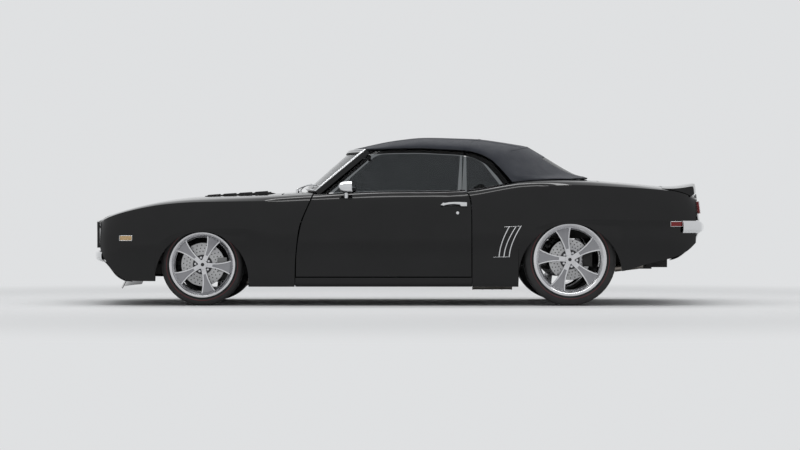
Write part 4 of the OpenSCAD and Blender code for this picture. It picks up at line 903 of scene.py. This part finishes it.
# two dials on the dashboard ahead of the steering wheel
dials = {
    "Left": (-0.5195, -0.46, 0.7), "Right": (-0.5195, -0.29, 0.7), "radius": 0.06, "axis": (0.989, 0, -0.146),
    "face": 0.052, "steps": 48,
}
r = dials["radius"]
for label in ("Left", "Right"):
    place = dials[label]
    pod = lathe("dial", place, dials["axis"], [
        (0, 0.002), (r - 0.01, 0.002), (r - 0.007, 0.004), (r - 0.005, 0.012), (r, 0.013), (r + 0.004, 0.008),
        (r + 0.005, -0.004), (0, -0.004)], dials["steps"])
    pod.data.materials.append(finishes["chromePlate"])
    paintFaces(pod, finishes["dialFace"], lambda p: (p.center - Vector(place)).length < dials["face"])
    newPiece(pod, "dial" + label, finishes["chromePlate"], "body")
print("dials made")

# CAD pieces that keep their shape and take a better finish
keptNodes = {
    "floor_pan": "underbodyBlack", "inner_fenders": "underbodyBlack", "front_subframe": "underbodyBlack",
    "rear_axle": "underbodyBlack", "exhaust": "exhaustSteel", "fuel_tank": "underbodyBlack",
    "engine": "castMetal", "knuckle_left": "castMetal", "knuckle_right": "castMetal",
}
for nodeName, finishName in keptNodes.items():
    cadNodes[nodeName].data.materials.clear()
    cadNodes[nodeName].data.materials.append(finishes[finishName])

# floor, light and camera
stageLook = {
    "floor": (0.73, 0.735, 0.74), "size": 160, "backdrop": (0.74, 0.75, 0.76),
    "fill": 0.5 / 0.75, "fade": (3.0, 7.0),  # the floor fades to the backdrop between these distances
}


def seenDirectly(tree):
    rays = tree.nodes.new("ShaderNodeLightPath")
    shiny = mathOn(tree, "MAXIMUM", rays.outputs["Is Camera Ray"], rays.outputs["Is Glossy Ray"])
    return mathOn(tree, "MAXIMUM", shiny, rays.outputs["Is Transmission Ray"])


deselectAll()
bpy.ops.mesh.primitive_plane_add(size=stageLook["size"], location=(0, 0, 0))
floor = bpy.context.object
floor.name = "studioFloor"
floorFinish = makeFinish("studioFloor", {
    "colour": stageLook["floor"], "shade": [c * 0.97 for c in stageLook["floor"]],
    "rough": (0.6, 0.75), "cloud": 0.6,
    "bump": ("noise", 60, 0.02, 0.001), "sockets": {"Specular IOR Level": 0.1}})
floorTree = floorFinish.node_tree
span = floorTree.nodes.new("ShaderNodeVectorMath")
span.operation = "LENGTH"
floorCoords = floorTree.nodes.new("ShaderNodeTexCoord")
floorTree.links.new(floorCoords.outputs["Object"], span.inputs[0])
nearFade, farFade = stageLook["fade"]
fade = addNode(floorTree, "ShaderNodeMapRange", **{"From Min": nearFade, "From Max": farFade})
fade.interpolation_type = "SMOOTHSTEP"
floorTree.links.new(span.outputs["Value"], fade.inputs["Value"])
glow = addNode(floorTree, "ShaderNodeEmission", Color=(*stageLook["backdrop"], 1), Strength=1.0)
mixShader = floorTree.nodes.new("ShaderNodeMixShader")
fadeSeen = mathOn(floorTree, "MULTIPLY", fade.outputs["Result"], seenDirectly(floorTree))
floorTree.links.new(fadeSeen, mixShader.inputs["Fac"])
floorTree.links.new(floorTree.nodes["Principled BSDF"].outputs["BSDF"], mixShader.inputs[1])
floorTree.links.new(glow.outputs["Emission"], mixShader.inputs[2])
floorTree.links.new(mixShader.outputs["Shader"], floorTree.nodes["Material Output"].inputs["Surface"])
floor.data.materials.append(floorFinish)

world = bpy.data.worlds.new("studio")
bpy.context.scene.world = world
world.use_nodes = True
worldTree = world.node_tree
background = worldTree.nodes["Background"]
background.inputs["Color"].default_value = (*stageLook["backdrop"], 1)
level = addNode(worldTree, "ShaderNodeMapRange", **{"To Min": stageLook["fill"], "To Max": 1.0})
worldTree.links.new(seenDirectly(worldTree), level.inputs["Value"])
worldTree.links.new(level.outputs["Result"], background.inputs["Strength"])

softLights = {
    "nearStrip": {"place": (0, -1.5, 5.2), "aim": (0, -0.4, 0), "size": (10, 0.8), "power": 125},
    "farStrip": {"place": (0, 1.5, 5.2), "aim": (0, 0.4, 0), "size": (10, 0.8), "power": 125},
    "nearFill": {"place": (0, -13, 9), "aim": (0, 0, 0.5), "size": (12, 5), "power": 260, "mirrored": False},
}
for name, light in softLights.items():
    lamp = bpy.data.lights.new(name, "AREA")
    lamp.shape = "RECTANGLE"
    lamp.size, lamp.size_y = light["size"]
    lamp.energy = light["power"]
    lampObject = bpy.data.objects.new(name, lamp)
    bpy.context.scene.collection.objects.link(lampObject)
    lampObject.location = light["place"]
    lampObject.visible_glossy = light.get("mirrored", True)
    toward = Vector(light["aim"]) - Vector(light["place"])
    lampObject.rotation_euler = toward.to_track_quat("-Z", "Y").to_euler()

cameraView = {"place": (0, -19.57, 0.602), "lens": 113}
cameraData = bpy.data.cameras.new("camera")
cameraData.lens = cameraView["lens"]
camera = bpy.data.objects.new("camera", cameraData)
bpy.context.scene.collection.objects.link(camera)
camera.location = cameraView["place"]
camera.rotation_euler = (math.radians(90), 0, 0)
bpy.context.scene.camera = camera
bpy.context.scene.view_settings.view_transform = "Standard"

bpy.context.view_layer.update()
print("scene ready")
